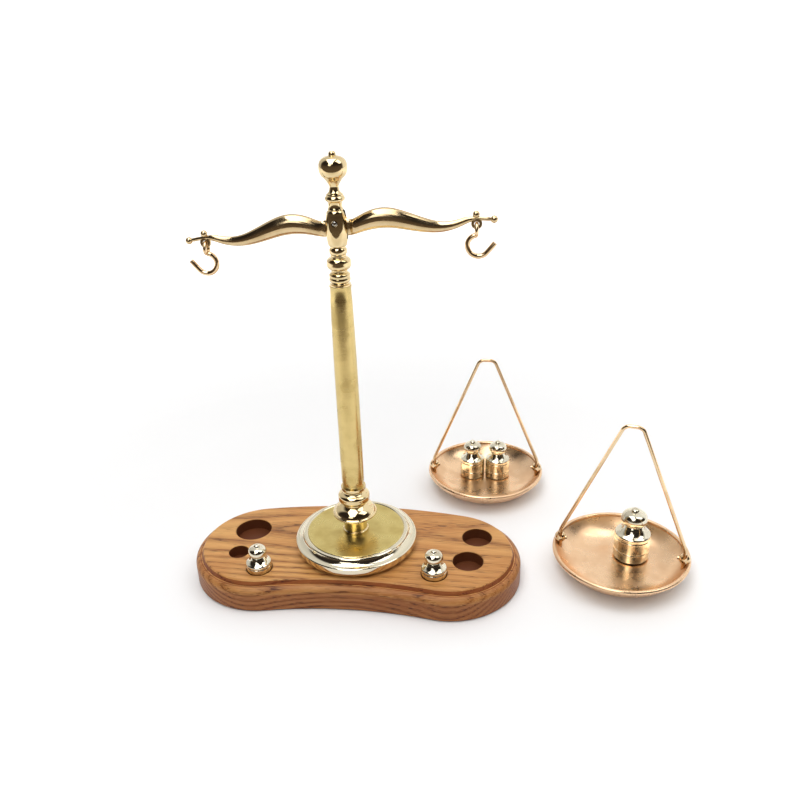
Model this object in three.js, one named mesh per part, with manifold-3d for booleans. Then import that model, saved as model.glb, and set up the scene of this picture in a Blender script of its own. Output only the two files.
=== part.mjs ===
// Balance scale: a brass beam rocks in the slotted head of a turned column, which a tie rod
// holds to an oak board with sockets for brass weights. Two pans on wire bails stand beside it.
// Millimetres, +Z up. Z is the column's axis and zero is the underside of the board's felt.
// X runs along the board and Y towards its back.
import * as THREE from 'three';
import { mergeVertices } from 'three/addons/utils/BufferGeometryUtils.js';
import Module from 'manifold-3d';

const wasm = await Module();
wasm.setup();

// Clearances and cutting tools
const fitGap = 0.3;
const cutOverrun = 1;

// Faceting
const turnedSides = 24;
const wideTurnedSides = 40;
const smallTurnedSides = 12;
const weightSides = 20;
const wireSides = 8;
const arcTolerance = 0.12;

// Oak board: two round lobes, a swelling back edge, a hollow front edge and a routed step
const boardLength = 200;
const boardLobeRadius = 43;
const boardBackBulge = 6;
const boardFrontDip = 5.5;
const boardThickness = 18;
const boardStepHeight = 3;
const boardStepInset = 4;
const boardStepBatter = 0.8;
const boardEdgeBreak = 0.7;
const columnSetback = 3.4;
const boardRoundSteps = 4;
const lobeSteps = 16;
const edgeArcSteps = 6;
const counterboreRadius = 8;
const counterboreDepth = 6;
const socketDepth = 7;
const socketGap = 0.35;

// Felt glued under the board
const feltThickness = 0.6;
const feltInset = 0.8;

// Tie rod, washer and nut
const rodRadius = 2;
const rodChamfer = 0.4;
const rodNutOverhang = 0.9;
const washerRadius = 7;
const washerThickness = 1.2;
const nutRadius = 4;
const nutHeight = 3.2;

// Turned pieces on the rod, from the board up
const footRadius = 36.6;
const footHeight = 10.8;
const bellRadius = 13.2;
const bellHeight = 19;
const collarRadius = 9.3;
const collarHeight = 11.8;
const columnRadius = 6.6;
const columnHeight = 123.2;
const lowerBulbRadius = 5.7;
const lowerBulbHeight = 7.8;
const upperBulbRadius = 6.4;
const upperBulbHeight = 8;

// Slotted head that carries the beam, with its cap and finial
const headRadius = 5.9;
const headHeight = 23.6;
const headPivotShare = 0.746;
const headRodDepth = 6.6;
const spigotRadius = 2.9;
const spigotHeight = 3.2;
const slotWidth = 3.2;
const slotFloorDrop = 8.6;
const capRadius = 5;
const capHeight = 7.2;
const capSpigotDepth = 3.7;
const finialRadius = 7.25;
const finialHeight = 21.4;
const finialStubRadius = 1.6;
const finialStubLength = 3;

// Beam: an S-curved arm each side of a flat tongue, with a ball at each tip. Near it a drilled
// lug hangs under the neck and a small round crest stands on it.
const beamHalfSpan = 79.7;
const beamTipDrop = 4.4;
const beamRise = 4.8;
const beamArmHeight = 10.4;
const beamArmDepth = 7.8;
const beamShoulderGap = 1;
const beamNeckRadius = 1;
const beamBallRadius = 1.9;
const beamLugRadius = 2.8;
const beamLugThickness = 2;
const beamLugShare = 0.89;
const beamLugRiseShare = -0.333;
const beamNeckRiseShare = 0.19;
const beamCrestRadius = 1.8;
const beamCrestLift = 4.7;
const beamTilt = THREE.MathUtils.degToRad(3.84);
const beamSides = 14;
const beamStations = 20;
const ballSides = 10;
const ballRings = 8;
const pivotPinRadius = 1.3;
const pivotPinLength = 11.2;

// Wire hooks: a closed eye through the beam's lug, and an open bowl below it
const hookWireRadius = 1;
const hookEyeRadius = 2.9;
const hookEyeSteps = 20;
const hookBowlWireRadius = 1.35;
const hookBowlDrop = 10.9;
const hookShankRadius = 5.12;
const hookShankOffset = 0.47;
const hookShankStart = THREE.MathUtils.degToRad(95.3);
const hookShankSteps = 6;
const hookBowlRadius = 5.65;
const hookBowlOffset = 1;
const hookBowlEnd = THREE.MathUtils.degToRad(320);
const hookBowlSteps = 10;
const hookTipLength = 6.3;
const hookTipEase = 0.7;
const hookTipShare = 0.5;

// Pans: spun dishes with a flat middle and a rolled rim
const panRadius = 40.8;
const panHeight = 14;
const panWall = 1.2;
const panFlatRadius = 20;
const panBeadRadius = 1.3;
const panArcSteps = 5;
const panBeadSteps = 8;
const panBeadSweep = THREE.MathUtils.degToRad(150);
const rearPanPlace = new THREE.Vector2(76.9, 104);
const rearPanTurn = 0;
const frontPanPlace = new THREE.Vector2(160.6, 11.3);
const frontPanTurn = THREE.MathUtils.degToRad(-14);

// Slotted ball studs riveted through the dish at notches in its rim, and the wire bails that
// pivot in them
const studRimInset = 4;
const studBallRadius = 3.4;
const studBallSteps = 8;
const studSides = 16;
const studPostRadius = 1.4;
const studHeadRadius = 2.2;
const studHeadHeight = 1;
const bailWireRadius = 1.1;
const bailAxisHeight = 15.4;
const bailShoulderHeight = 21;
const bailTopHeight = 98;
const bailTopHalfWidth = 5;
const bailEndOverhang = 0.8;
const bailEarBendRadius = 1.6;
const bailShoulderBendRadius = 6;
const bailTopBendRadius = 4.5;
const bendSteps = 5;

// Weights: one outline in four sizes, the smallest of which has a socket and no weight
const largeWeightRadius = 10.8;
const mediumWeightRadius = 8.8;
const smallWeightRadius = 7.4;
const tinyWeightRadius = 5.8;
const weightHeightShare = 3.15;
const weightRestGap = 0.15;

// Places of the sockets: [share of the lobe's distance from the middle, share of its radius]
const largeSocketShares = [-1.196, 0.299];
const tinySocketShares = [-1.24, -0.255];
const backMediumSocketShares = [1.288, 0.332];
const frontMediumSocketShares = [1.206, -0.232];
const leftSmallSocketShares = [-0.946, -0.587];
const rightSmallSocketShares = [0.87, -0.535];

// Places of the weights on the pans, as shares of the pan's radius from its centre
const rearLeftWeightShares = [-0.232, 0.286];
const rearRightWeightShares = [0.218, 0.293];
const frontWeightShares = [0.208, 0.286];

// Outlines of the turned pieces from the bottom up: [radius share, height share, bulge share].
// A bulge bends the run that ends at its point into an arc, outwards where it is positive.
const footShares = [
  [0.86, 0, 0],
  [1, 0.42, 0.036],
  [1, 0.64, 0],
  [0.985, 0.68, 0],
  [0.955, 0.68, 0],
  [0.865, 0.955, -0.02],
  [0.85, 1, 0],
  [0.81, 1, 0],
  [0.8, 0.955, 0],
  [0.79, 1, 0],
];
const bellShares = [
  [0.59, 0, 0],
  [0.59, 0.06, 0],
  [0.53, 0.09, 0],
  [0.53, 0.36, 0],
  [0.95, 0.61, -0.1],
  [1, 0.64, 0],
  [1, 0.69, 0],
  [0.94, 0.715, 0],
  [0.66, 0.93, 0.05],
  [0.55, 1, 0],
];
const collarShares = [
  [0.76, 0, 0],
  [0.76, 0.08, 0],
  [0.8, 0.1, 0],
  [1, 0.365, 0.09],
  [0.8, 0.62, 0.09],
  [0.72, 0.66, 0],
  [0.7, 0.8, -0.03],
  [0.79, 0.86, 0],
  [0.79, 1, 0],
];
const columnShares = [
  [0.93, 0, 0],
  [0.93, 0.012, 0],
  [0.99, 0.04, 0],
  [1, 0.12, 0],
  [0.985, 0.5, 0],
  [0.9, 0.93, 0.015],
  [0.86, 0.985, -0.015],
  [0.9, 1, 0],
];
const lowerBulbShares = [
  [1, 0, 0],
  [1, 0.12, 0],
  [0.78, 0.22, -0.05],
  [0.95, 0.58, 0.13],
  [0.74, 0.93, 0.13],
  [0.74, 1, 0],
];
const upperBulbShares = [
  [0.66, 0, 0],
  [0.66, 0.1, 0],
  [1, 0.52, 0.14],
  [0.66, 0.92, 0.14],
  [0.66, 1, 0],
];
const headShares = [
  [0.71, 0, 0],
  [0.71, 0.04, 0],
  [0.77, 0.06, 0],
  [0.77, 0.16, 0.03],
  [0.69, 0.19, 0],
  [0.69, 0.22, 0],
  [0.84, 0.25, 0.03],
  [1, 0.58, 0.03],
  [0.84, 0.93, 0.03],
  [0.72, 1, 0.03],
];
const capShares = [
  [0.8, 0, 0],
  [0.8, 0.08, 0],
  [0.74, 0.16, 0],
  [0.74, 0.5, -0.03],
  [0.86, 0.62, -0.02],
  [1, 0.7, 0],
  [1, 0.9, 0.04],
  [0.9, 1, 0],
];
const finialShares = [
  [0.6, 0, 0],
  [0.58, 0.04, 0.01],
  [0.34, 0.17, -0.06],
  [0.32, 0.21, 0],
  [0.84, 0.45, -0.05],
  [1, 0.66, 0.06],
  [0.5, 0.89, 0.16],
  [0.26, 0.91, 0],
  [0.26, 0.94, 0],
  [0, 1, 0.09],
];
const weightShares = [
  [0.95, 0, 0],
  [1, 0.016, 0],
  [1, 0.17, 0],
  [0.96, 0.185, 0],
  [1, 0.2, 0],
  [1, 0.41, 0],
  [0.96, 0.425, 0],
  [1, 0.44, 0],
  [1, 0.47, 0],
  [0.94, 0.51, 0.02],
  [0.56, 0.64, -0.06],
  [0.5, 0.67, 0],
  [0.72, 0.82, 0.09],
  [0.36, 0.93, 0.09],
  [0.27, 0.935, 0],
  [0, 1, 0.09],
];

// Heights and fits worked out from the sizes
const boardTop = feltThickness + boardThickness;
const bellBottom = boardTop + footHeight;
const collarBottom = bellBottom + bellHeight;
const columnBottom = collarBottom + collarHeight;
const lowerBulbBottom = columnBottom + columnHeight;
const upperBulbBottom = lowerBulbBottom + lowerBulbHeight;
const headBottom = upperBulbBottom + upperBulbHeight;
const headTop = headBottom + headHeight;
const capTop = headTop + capHeight;
const pivotHeight = headBottom + headHeight * headPivotShare;
const rodBoreRadius = rodRadius + fitGap;
const studReach = panRadius - studRimInset;

// Materials
function metal(color, roughness) {
  return new THREE.MeshStandardMaterial({ color, roughness, metalness: 1 });
}
const oak = new THREE.MeshStandardMaterial({ color: 0xb9773f, roughness: 0.5, metalness: 0 });
const felt = new THREE.MeshStandardMaterial({ color: 0x3c2a1e, roughness: 1, metalness: 0 });
const polishedBrass = metal(0xd9b45b, 0.16);
const satinBrass = metal(0xcfae5c, 0.32);
const panBrass = metal(0xe3b183, 0.18);
const wireBrass = metal(0xd8a860, 0.22);
const weightBrass = metal(0xd8bf7a, 0.2);
const steel = metal(0x9a9a96, 0.4);

// Solids for joining and cutting
function toSolid(geometry) {
  const bare = geometry.clone();
  bare.deleteAttribute('normal');
  bare.deleteAttribute('uv');
  const merged = mergeVertices(bare);
  const corners = merged.index.array;
  const kept = [];
  for (let k = 0; k < corners.length; k += 3) {
    const [a, b, c] = [corners[k], corners[k + 1], corners[k + 2]];
    if (a !== b && b !== c && c !== a) kept.push(a, b, c);
  }
  return new wasm.Manifold(new wasm.Mesh({
    numProp: 3,
    vertProperties: merged.attributes.position.array,
    triVerts: Uint32Array.from(kept),
  }));
}

function toGeometry(solid) {
  const mesh = solid.getMesh();
  const geometry = new THREE.BufferGeometry();
  geometry.setAttribute('position', new THREE.BufferAttribute(mesh.vertProperties, 3));
  geometry.setIndex(new THREE.BufferAttribute(mesh.triVerts, 1));
  geometry.computeVertexNormals();
  return geometry;
}

// A cylinder whose axis runs along the given direction, by its middle point
function cylinder(radius, length, sides, middle, direction) {
  const geometry = new THREE.CylinderGeometry(radius, radius, length, sides);
  const up = new THREE.Vector3(0, 1, 0);
  geometry.applyQuaternion(new THREE.Quaternion().setFromUnitVectors(up, direction));
  return geometry.translate(middle.x, middle.y, middle.z);
}
const alongX = new THREE.Vector3(1, 0, 0);
const alongY = new THREE.Vector3(0, 1, 0);
const alongZ = new THREE.Vector3(0, 0, 1);

function uprightCylinder(radius, bottom, top, sides, x = 0, y = 0) {
  const middle = new THREE.Vector3(x, y, (bottom + top) / 2);
  return cylinder(radius, top - bottom, sides, middle, alongZ);
}

// Points of an arc between two profile points that bulges by the given amount
function bulgedRun(from, to, bulge) {
  if (bulge === 0) return [to];
  const chord = to.clone().sub(from);
  const side = new THREE.Vector2(chord.y, -chord.x).normalize();
  const points = [];
  const steps = Math.ceil(Math.sqrt(Math.abs(bulge) / arcTolerance));
  for (let k = 1; k <= steps; k++) {
    const share = k / steps;
    const lift = 4 * share * (1 - share) * bulge;
    points.push(from.clone().addScaledVector(chord, share).addScaledVector(side, lift));
  }
  return points;
}

// Profile of a turned piece from its table of shares
function turnedProfile(shares, radius, bottom, height) {
  const points = [];
  for (const [radiusShare, heightShare, bulgeShare] of shares) {
    const next = new THREE.Vector2(radiusShare * radius, bottom + heightShare * height);
    const last = points.at(-1) ?? next;
    points.push(...bulgedRun(last, next, bulgeShare * radius));
  }
  return points;
}

function turned(profile, sides) {
  return new THREE.LatheGeometry(profile, sides).rotateX(Math.PI / 2);
}

// A turned piece with a straight bore
function boredTurning(shares, radius, bottom, height, bore, sides) {
  const profile = turnedProfile(shares, radius, bottom, height);
  profile.unshift(new THREE.Vector2(bore, bottom));
  profile.push(new THREE.Vector2(bore, bottom + height), new THREE.Vector2(bore, bottom));
  return turned(profile, sides);
}

// A closed solid from rings of equal point counts, capped by a fan at each end
function ringStack(rings) {
  const count = rings[0].length;
  const points = rings.flat();
  const firstCentre = points.length;
  for (const ring of [rings[0], rings.at(-1)]) {
    const centre = new THREE.Vector3();
    ring.forEach((point) => centre.addScaledVector(point, 1 / count));
    points.push(centre);
  }
  const faces = [];
  const lastRing = (rings.length - 1) * count;
  for (let k = 0; k < count; k++) {
    const next = (k + 1) % count;
    for (let base = 0; base < lastRing; base += count) {
      faces.push(base + k, base + next, base + count + next);
      faces.push(base + k, base + count + next, base + count + k);
    }
    faces.push(firstCentre, next, k);
    faces.push(firstCentre + 1, lastRing + k, lastRing + next);
  }
  const geometry = new THREE.BufferGeometry().setFromPoints(points);
  geometry.setIndex(faces);
  geometry.computeVertexNormals();
  return geometry;
}

// Board
const lobeDistance = boardLength / 2 - boardLobeRadius;

function boardOutline(inset) {
  const lobe = boardLobeRadius - inset;
  const backDrop = (lobeDistance ** 2 - boardBackBulge ** 2) / (2 * boardBackBulge);
  const frontReach = (lobeDistance ** 2 + boardFrontDip ** 2) / (2 * boardFrontDip);
  const frontDrop = frontReach - boardFrontDip;
  const backTurn = Math.atan2(backDrop, lobeDistance);
  const frontTurn = Math.atan2(frontDrop, lobeDistance);
  const points = [];
  const arc = (x, y, radius, from, to, steps) => {
    for (let k = 0; k < steps; k++) {
      const angle = from + ((to - from) * k) / steps;
      const px = x + radius * Math.cos(angle);
      const py = y + radius * Math.sin(angle) - columnSetback;
      points.push(new THREE.Vector2(px, py));
    }
  };
  arc(lobeDistance, 0, lobe, frontTurn - Math.PI, backTurn, lobeSteps);
  arc(0, -backDrop, backDrop + lobe + boardBackBulge, backTurn, Math.PI - backTurn, edgeArcSteps);
  arc(-lobeDistance, 0, lobe, Math.PI - backTurn, 2 * Math.PI - frontTurn, lobeSteps);
  arc(0, -frontDrop, frontReach - lobe, Math.PI - frontTurn, frontTurn, edgeArcSteps);
  return points;
}

function boardRing(inset, height) {
  return boardOutline(inset).map((point) => new THREE.Vector3(point.x, point.y, height));
}

function socketPlace([lengthShare, widthShare]) {
  return new THREE.Vector2(lengthShare * lobeDistance, widthShare * boardLobeRadius - columnSetback);
}

function boardGeometry() {
  const ledge = boardTop - boardStepHeight;
  const rings = [
    boardRing(boardEdgeBreak, feltThickness),
    boardRing(0, feltThickness + boardEdgeBreak),
  ];
  for (let k = 0; k <= boardRoundSteps; k++) {
    const angle = (Math.PI / 2) * (k / boardRoundSteps);
    const inset = boardStepInset * (1 - Math.cos(angle));
    rings.push(boardRing(inset, ledge - boardStepInset * (1 - Math.sin(angle))));
  }
  const topInset = boardStepInset + boardStepBatter;
  rings.push(boardRing(topInset, boardTop - boardEdgeBreak));
  rings.push(boardRing(topInset + boardEdgeBreak, boardTop));
  let solid = toSolid(ringStack(rings));
  const sockets = [
    [largeSocketShares, largeWeightRadius],
    [tinySocketShares, tinyWeightRadius],
    [backMediumSocketShares, mediumWeightRadius],
    [frontMediumSocketShares, mediumWeightRadius],
    [leftSmallSocketShares, smallWeightRadius],
    [rightSmallSocketShares, smallWeightRadius],
  ];
  for (const [shares, radius] of sockets) {
    const place = socketPlace(shares);
    const floor = boardTop - socketDepth;
    const top = boardTop + cutOverrun;
    const tool = uprightCylinder(radius + socketGap, floor, top, turnedSides, place.x, place.y);
    solid = solid.subtract(toSolid(tool));
  }
  const boreTop = boardTop + cutOverrun;
  const boreBottom = feltThickness - cutOverrun;
  const counterboreTop = feltThickness + counterboreDepth;
  const bore = uprightCylinder(rodBoreRadius, boreBottom, boreTop, smallTurnedSides);
  const counterbore = uprightCylinder(counterboreRadius, boreBottom, counterboreTop, turnedSides);
  return toGeometry(solid.subtract(toSolid(bore)).subtract(toSolid(counterbore)));
}

function feltGeometry() {
  return ringStack([boardRing(feltInset, 0), boardRing(feltInset, feltThickness)]);
}

// Tie rod with its washer and nut
const washerTop = feltThickness + counterboreDepth;
const nutTop = washerTop - washerThickness;
const nutBottom = nutTop - nutHeight;

function rodGeometry() {
  const bottom = nutBottom - rodNutOverhang;
  const top = headBottom + headRodDepth - fitGap;
  const tip = rodRadius - rodChamfer;
  return turned([
    new THREE.Vector2(0, bottom),
    new THREE.Vector2(tip, bottom),
    new THREE.Vector2(rodRadius, bottom + rodChamfer),
    new THREE.Vector2(rodRadius, top - rodChamfer),
    new THREE.Vector2(tip, top),
    new THREE.Vector2(0, top),
  ], smallTurnedSides);
}

function ringPlate(radius, bottom, top, sides) {
  const tool = uprightCylinder(rodBoreRadius, bottom - cutOverrun, top + cutOverrun, smallTurnedSides);
  return toGeometry(toSolid(uprightCylinder(radius, bottom, top, sides)).subtract(toSolid(tool)));
}

// Head: a barrel slotted from above for the beam, with a split spigot for the cap
function headGeometry() {
  const profile = turnedProfile(headShares, headRadius, headBottom, headHeight);
  const spigotTop = headTop + spigotHeight;
  profile.unshift(new THREE.Vector2(0, headBottom));
  profile.push(new THREE.Vector2(spigotRadius, headTop));
  profile.push(new THREE.Vector2(spigotRadius, spigotTop), new THREE.Vector2(0, spigotTop));
  const floor = pivotHeight - slotFloorDrop;
  const top = spigotTop + cutOverrun;
  const slot = new THREE.BoxGeometry(2 * (headRadius + cutOverrun), slotWidth, top - floor);
  slot.translate(0, 0, (top + floor) / 2);
  const rodTop = headBottom + headRodDepth;
  const rodHole = uprightCylinder(rodBoreRadius, headBottom - cutOverrun, rodTop, smallTurnedSides);
  const pivot = new THREE.Vector3(0, 0, pivotHeight);
  const pinHoleLength = 2 * (headRadius + cutOverrun);
  const pinHoleRadius = pivotPinRadius + fitGap;
  const pinHole = cylinder(pinHoleRadius, pinHoleLength, smallTurnedSides, pivot, alongY);
  let solid = toSolid(turned(profile, turnedSides));
  for (const tool of [slot, rodHole, pinHole]) solid = solid.subtract(toSolid(tool));
  return toGeometry(solid);
}

function capGeometry() {
  const profile = turnedProfile(capShares, capRadius, headTop, capHeight);
  const spigotBore = spigotRadius + fitGap;
  const stubBore = finialStubRadius + fitGap;
  const step = headTop + capSpigotDepth;
  profile.unshift(new THREE.Vector2(spigotBore, headTop));
  profile.push(new THREE.Vector2(stubBore, capTop), new THREE.Vector2(stubBore, step));
  profile.push(new THREE.Vector2(spigotBore, step), new THREE.Vector2(spigotBore, headTop));
  return turned(profile, turnedSides);
}

function finialGeometry() {
  const profile = turnedProfile(finialShares, finialRadius, capTop, finialHeight);
  const stubBottom = capTop - finialStubLength;
  profile.unshift(
    new THREE.Vector2(0, stubBottom),
    new THREE.Vector2(finialStubRadius, stubBottom),
    new THREE.Vector2(finialStubRadius, capTop),
  );
  return turned(profile, turnedSides);
}

// Beam: half an arm from the pivot out, as shares of the half span, rise, height and depth.
// The tips lie below the pivot pin, which keeps the centre of mass under it.
const tongueShare = (slotWidth - 2 * fitGap) / beamArmDepth;
const shoulderShare = (headRadius + beamShoulderGap) / beamHalfSpan;
const neckHeightShare = (2 * beamNeckRadius) / beamArmHeight;
const neckDepthShare = (2 * beamNeckRadius) / beamArmDepth;
const armShares = [
  [0, 0.46, 0.97, tongueShare],
  [shoulderShare, 0.23, 0.77, tongueShare],
  [0.125, 0.35, 0.8, 0.8],
  [0.2, 0.78, 0.92, 0.94],
  [0.28, 0.99, 1, 1],
  [0.36, 0.9, 0.99, 0.99],
  [0.44, 0.55, 0.92, 0.93],
  [0.52, 0.135, 0.8, 0.82],
  [0.6, -0.23, 0.64, 0.68],
  [0.68, -0.4, 0.5, 0.54],
  [0.76, -0.25, 0.42, 0.45],
  [0.82, 0.06, 0.365, 0.38],
  [beamLugShare, beamNeckRiseShare, neckHeightShare, neckDepthShare],
  [0.95, 0.1, neckHeightShare, neckDepthShare],
  [1, 0, neckHeightShare, neckDepthShare],
];

// Smooth values of a table's columns where its first column has the given value
function readTable(rows, at) {
  let k = 0;
  while (k < rows.length - 2 && rows[k + 1][0] < at) k++;
  const before = rows[Math.max(k - 1, 0)];
  const [start, end] = [rows[k], rows[k + 1]];
  const after = rows[Math.min(k + 2, rows.length - 1)];
  const span = end[0] - start[0];
  const u = (at - start[0]) / span;
  return start.map((value, column) => {
    const slopeIn = (end[column] - before[column]) / (end[0] - before[0]);
    const slopeOut = (after[column] - start[column]) / (after[0] - start[0]);
    const [u2, u3] = [u * u, u * u * u];
    const ends = (2 * u3 - 3 * u2 + 1) * value + (3 * u2 - 2 * u3) * end[column];
    return ends + span * ((u3 - 2 * u2 + u) * slopeIn + (u3 - u2) * slopeOut);
  });
}

function beamRing(share, side) {
  const [, rise, height, armDepth] = readTable(armShares, share);
  const depth = share <= shoulderShare ? tongueShare : armDepth;
  const [, riseAhead] = readTable(armShares, Math.min(share + 1e-3, 1));
  const [, riseBehind] = readTable(armShares, Math.max(share - 1e-3, 0));
  const run = (Math.min(share + 1e-3, 1) - Math.max(share - 1e-3, 0)) * beamHalfSpan;
  const slope = (side * (riseAhead - riseBehind) * beamRise) / run;
  const lean = share === 0 ? 0 : Math.atan(slope);
  const ring = [];
  for (let k = 0; k < beamSides; k++) {
    const angle = (2 * Math.PI * k) / beamSides;
    const up = (Math.sin(angle) * height * beamArmHeight) / 2;
    const across = (Math.cos(angle) * depth * beamArmDepth) / 2;
    const x = side * share * beamHalfSpan - up * Math.sin(lean);
    const z = rise * beamRise - beamTipDrop + up * Math.cos(lean);
    ring.push(new THREE.Vector3(x, across, z));
  }
  return ring;
}

function beamGeometry() {
  const shares = armShares.map((row) => row[0]);
  for (let k = 1; k < beamStations; k++) shares.push(k / beamStations);
  shares.sort((a, b) => a - b);
  const distinct = shares.filter((share, k) => k === 0 || share - shares[k - 1] > 0.004);
  const rightRings = distinct.map((share) => beamRing(share, 1));
  const leftRings = distinct.slice(1).map((share) => beamRing(share, -1)).reverse();
  let solid = toSolid(ringStack([...leftRings, ...rightRings]));
  for (const side of [-1, 1]) {
    const ball = new THREE.SphereGeometry(beamBallRadius, ballSides, ballRings);
    const lugPlace = lugCentre(side);
    const lug = cylinder(beamLugRadius, beamLugThickness, turnedSides, lugPlace, alongY);
    const crest = new THREE.SphereGeometry(beamCrestRadius, ballSides, ballRings);
    crest.translate(lugPlace.x, 0, lugPlace.z + beamCrestLift);
    const eyeHole = cylinder(hookWireRadius + fitGap, beamArmDepth, smallTurnedSides, lugPlace, alongY);
    ball.translate(side * beamHalfSpan, 0, -beamTipDrop);
    solid = solid.add(toSolid(ball)).add(toSolid(crest));
    solid = solid.add(toSolid(lug)).subtract(toSolid(eyeHole));
  }
  const middle = new THREE.Vector3();
  const pinHole = cylinder(pivotPinRadius + fitGap, beamArmDepth, smallTurnedSides, middle, alongY);
  return toGeometry(solid.subtract(toSolid(pinHole)));
}

function lugCentre(side) {
  const height = beamLugRiseShare * beamRise - beamTipDrop;
  return new THREE.Vector3(side * beamLugShare * beamHalfSpan, 0, height);
}

// Round wire along points in the XZ plane, thinner at its first and last points by their shares
function wire(points, radius, firstShare = 1, lastShare = 1) {
  const lastPoint = points.length - 1;
  const rings = points.map((point, k) => {
    const before = points[Math.max(k - 1, 0)];
    const after = points[Math.min(k + 1, lastPoint)];
    const share = k === 0 ? firstShare : k === lastPoint ? lastShare : 1;
    const travel = point.clone().sub(before).normalize();
    travel.add(after.clone().sub(point).normalize()).normalize();
    const side = travel.clone().cross(alongY);
    const ring = [];
    for (let j = 0; j < wireSides; j++) {
      const angle = (2 * Math.PI * j) / wireSides;
      const spot = point.clone().addScaledVector(alongY, share * radius * Math.cos(angle));
      ring.push(spot.addScaledVector(side, share * radius * Math.sin(angle)));
    }
    return ring;
  });
  return ringStack(rings);
}

// A hook, from the centre of the hole in the lug: the shank curves from the eye to the inner
// side, the bowl turns below it, and a straight tip leaves the bowl outwards.
function hookGeometry(side) {
  const eye = new THREE.TorusGeometry(hookEyeRadius, hookWireRadius, wireSides, hookEyeSteps);
  eye.rotateY(Math.PI / 2).translate(0, 0, -hookEyeRadius);
  const points = [];
  const arc = (offset, radius, from, to, steps, first) => {
    for (let k = first; k <= steps; k++) {
      const angle = from + ((to - from) * k) / steps;
      const x = side * (offset + radius * Math.cos(angle));
      points.push(new THREE.Vector3(x, 0, radius * Math.sin(angle) - hookBowlDrop));
    }
  };
  arc(hookShankOffset, hookShankRadius, hookShankStart, Math.PI, hookShankSteps, 0);
  arc(hookBowlOffset, hookBowlRadius, Math.PI, hookBowlEnd, hookBowlSteps, 1);
  const outwards = -side * Math.sin(hookBowlEnd);
  const ahead = new THREE.Vector3(outwards, 0, Math.cos(hookBowlEnd));
  const bowlEnd = points.at(-1);
  points.push(bowlEnd.clone().addScaledVector(ahead, hookTipLength - hookTipEase));
  points.push(bowlEnd.clone().addScaledVector(ahead, hookTipLength));
  const bowl = wire(points, hookBowlWireRadius, hookWireRadius / hookBowlWireRadius, hookTipShare);
  return toGeometry(toSolid(eye).add(toSolid(bowl)));
}

// Pan: the wall is an arc that leaves the flat middle level and ends in the rolled rim
const wallReach = panRadius - panBeadRadius - panFlatRadius;
const wallRise = panHeight - panBeadRadius - panWall / 2;
const wallArcRadius = (wallReach ** 2 + wallRise ** 2) / (2 * wallRise);
const wallSweep = 2 * Math.atan2(wallRise, wallReach);
const wallCentreHeight = wallArcRadius + panWall / 2;

function wallPoint(offset, share) {
  const angle = wallSweep * share;
  const radius = wallArcRadius + offset;
  const reach = panFlatRadius + radius * Math.sin(angle);
  return new THREE.Vector2(reach, wallCentreHeight - radius * Math.cos(angle));
}

// Height of the dish's wall at a distance from its centre, on the middle of its thickness
// or offset from it towards the underside
function panFaceHeight(distance, offset) {
  const radius = wallArcRadius + offset;
  const past = Math.max(distance - panFlatRadius, 0);
  return wallCentreHeight - Math.sqrt(radius ** 2 - past ** 2);
}

function panGeometry() {
  const profile = [new THREE.Vector2(0, 0)];
  for (let k = 0; k < panArcSteps; k++) profile.push(wallPoint(panWall / 2, k / panArcSteps));
  const beadCentre = wallPoint(0, 1);
  for (let k = 0; k <= panBeadSteps; k++) {
    const angle = wallSweep + panBeadSweep * ((2 * k) / panBeadSteps - 1);
    const rim = new THREE.Vector2(Math.cos(angle), Math.sin(angle));
    profile.push(beadCentre.clone().addScaledVector(rim, panBeadRadius));
  }
  for (let k = panArcSteps - 1; k >= 0; k--) profile.push(wallPoint(-panWall / 2, k / panArcSteps));
  profile.push(new THREE.Vector2(0, panWall));
  let solid = toSolid(turned(profile, wideTurnedSides));
  const holeRadius = studPostRadius + fitGap;
  for (const side of [-1, 1]) {
    const hole = uprightCylinder(holeRadius, 0, panHeight, smallTurnedSides, side * studReach);
    const notch = new THREE.SphereGeometry(studBallRadius + fitGap, studSides, studSides);
    notch.translate(side * studReach, 0, bailAxisHeight);
    solid = solid.subtract(toSolid(hole)).subtract(toSolid(notch));
  }
  return toGeometry(solid);
}

// Ball stud, upright on the pan's own axes at its centre. A slot from above takes the bail's
// leg, and a cross hole towards the pan's middle takes its turned-in end.
const studHeadTop = panFaceHeight(studReach - studHeadRadius, panWall / 2) - fitGap;

function studGeometry(side) {
  const profile = [
    new THREE.Vector2(0, studHeadTop - studHeadHeight),
    new THREE.Vector2(studHeadRadius, studHeadTop - studHeadHeight / 2),
    new THREE.Vector2(studHeadRadius, studHeadTop),
    new THREE.Vector2(studPostRadius, studHeadTop),
  ];
  const startAngle = Math.asin(studPostRadius / studBallRadius);
  for (let k = 0; k <= studBallSteps; k++) {
    const angle = startAngle + (Math.PI - startAngle) * (k / studBallSteps);
    const radius = k === studBallSteps ? 0 : studBallRadius * Math.sin(angle);
    profile.push(new THREE.Vector2(radius, bailAxisHeight - studBallRadius * Math.cos(angle)));
  }
  const freeRadius = bailWireRadius + fitGap;
  const boreLength = studBallRadius + cutOverrun;
  const middle = new THREE.Vector3((-side * boreLength) / 2, 0, bailAxisHeight);
  const bore = cylinder(freeRadius, boreLength, smallTurnedSides, middle, alongX);
  const slotHeight = freeRadius + boreLength;
  const slot = new THREE.BoxGeometry(2 * freeRadius, 2 * boreLength, slotHeight);
  slot.translate(0, 0, bailAxisHeight - freeRadius + slotHeight / 2);
  const solid = toSolid(turned(profile, studSides)).subtract(toSolid(bore));
  return toGeometry(solid.subtract(toSolid(slot)));
}

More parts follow.
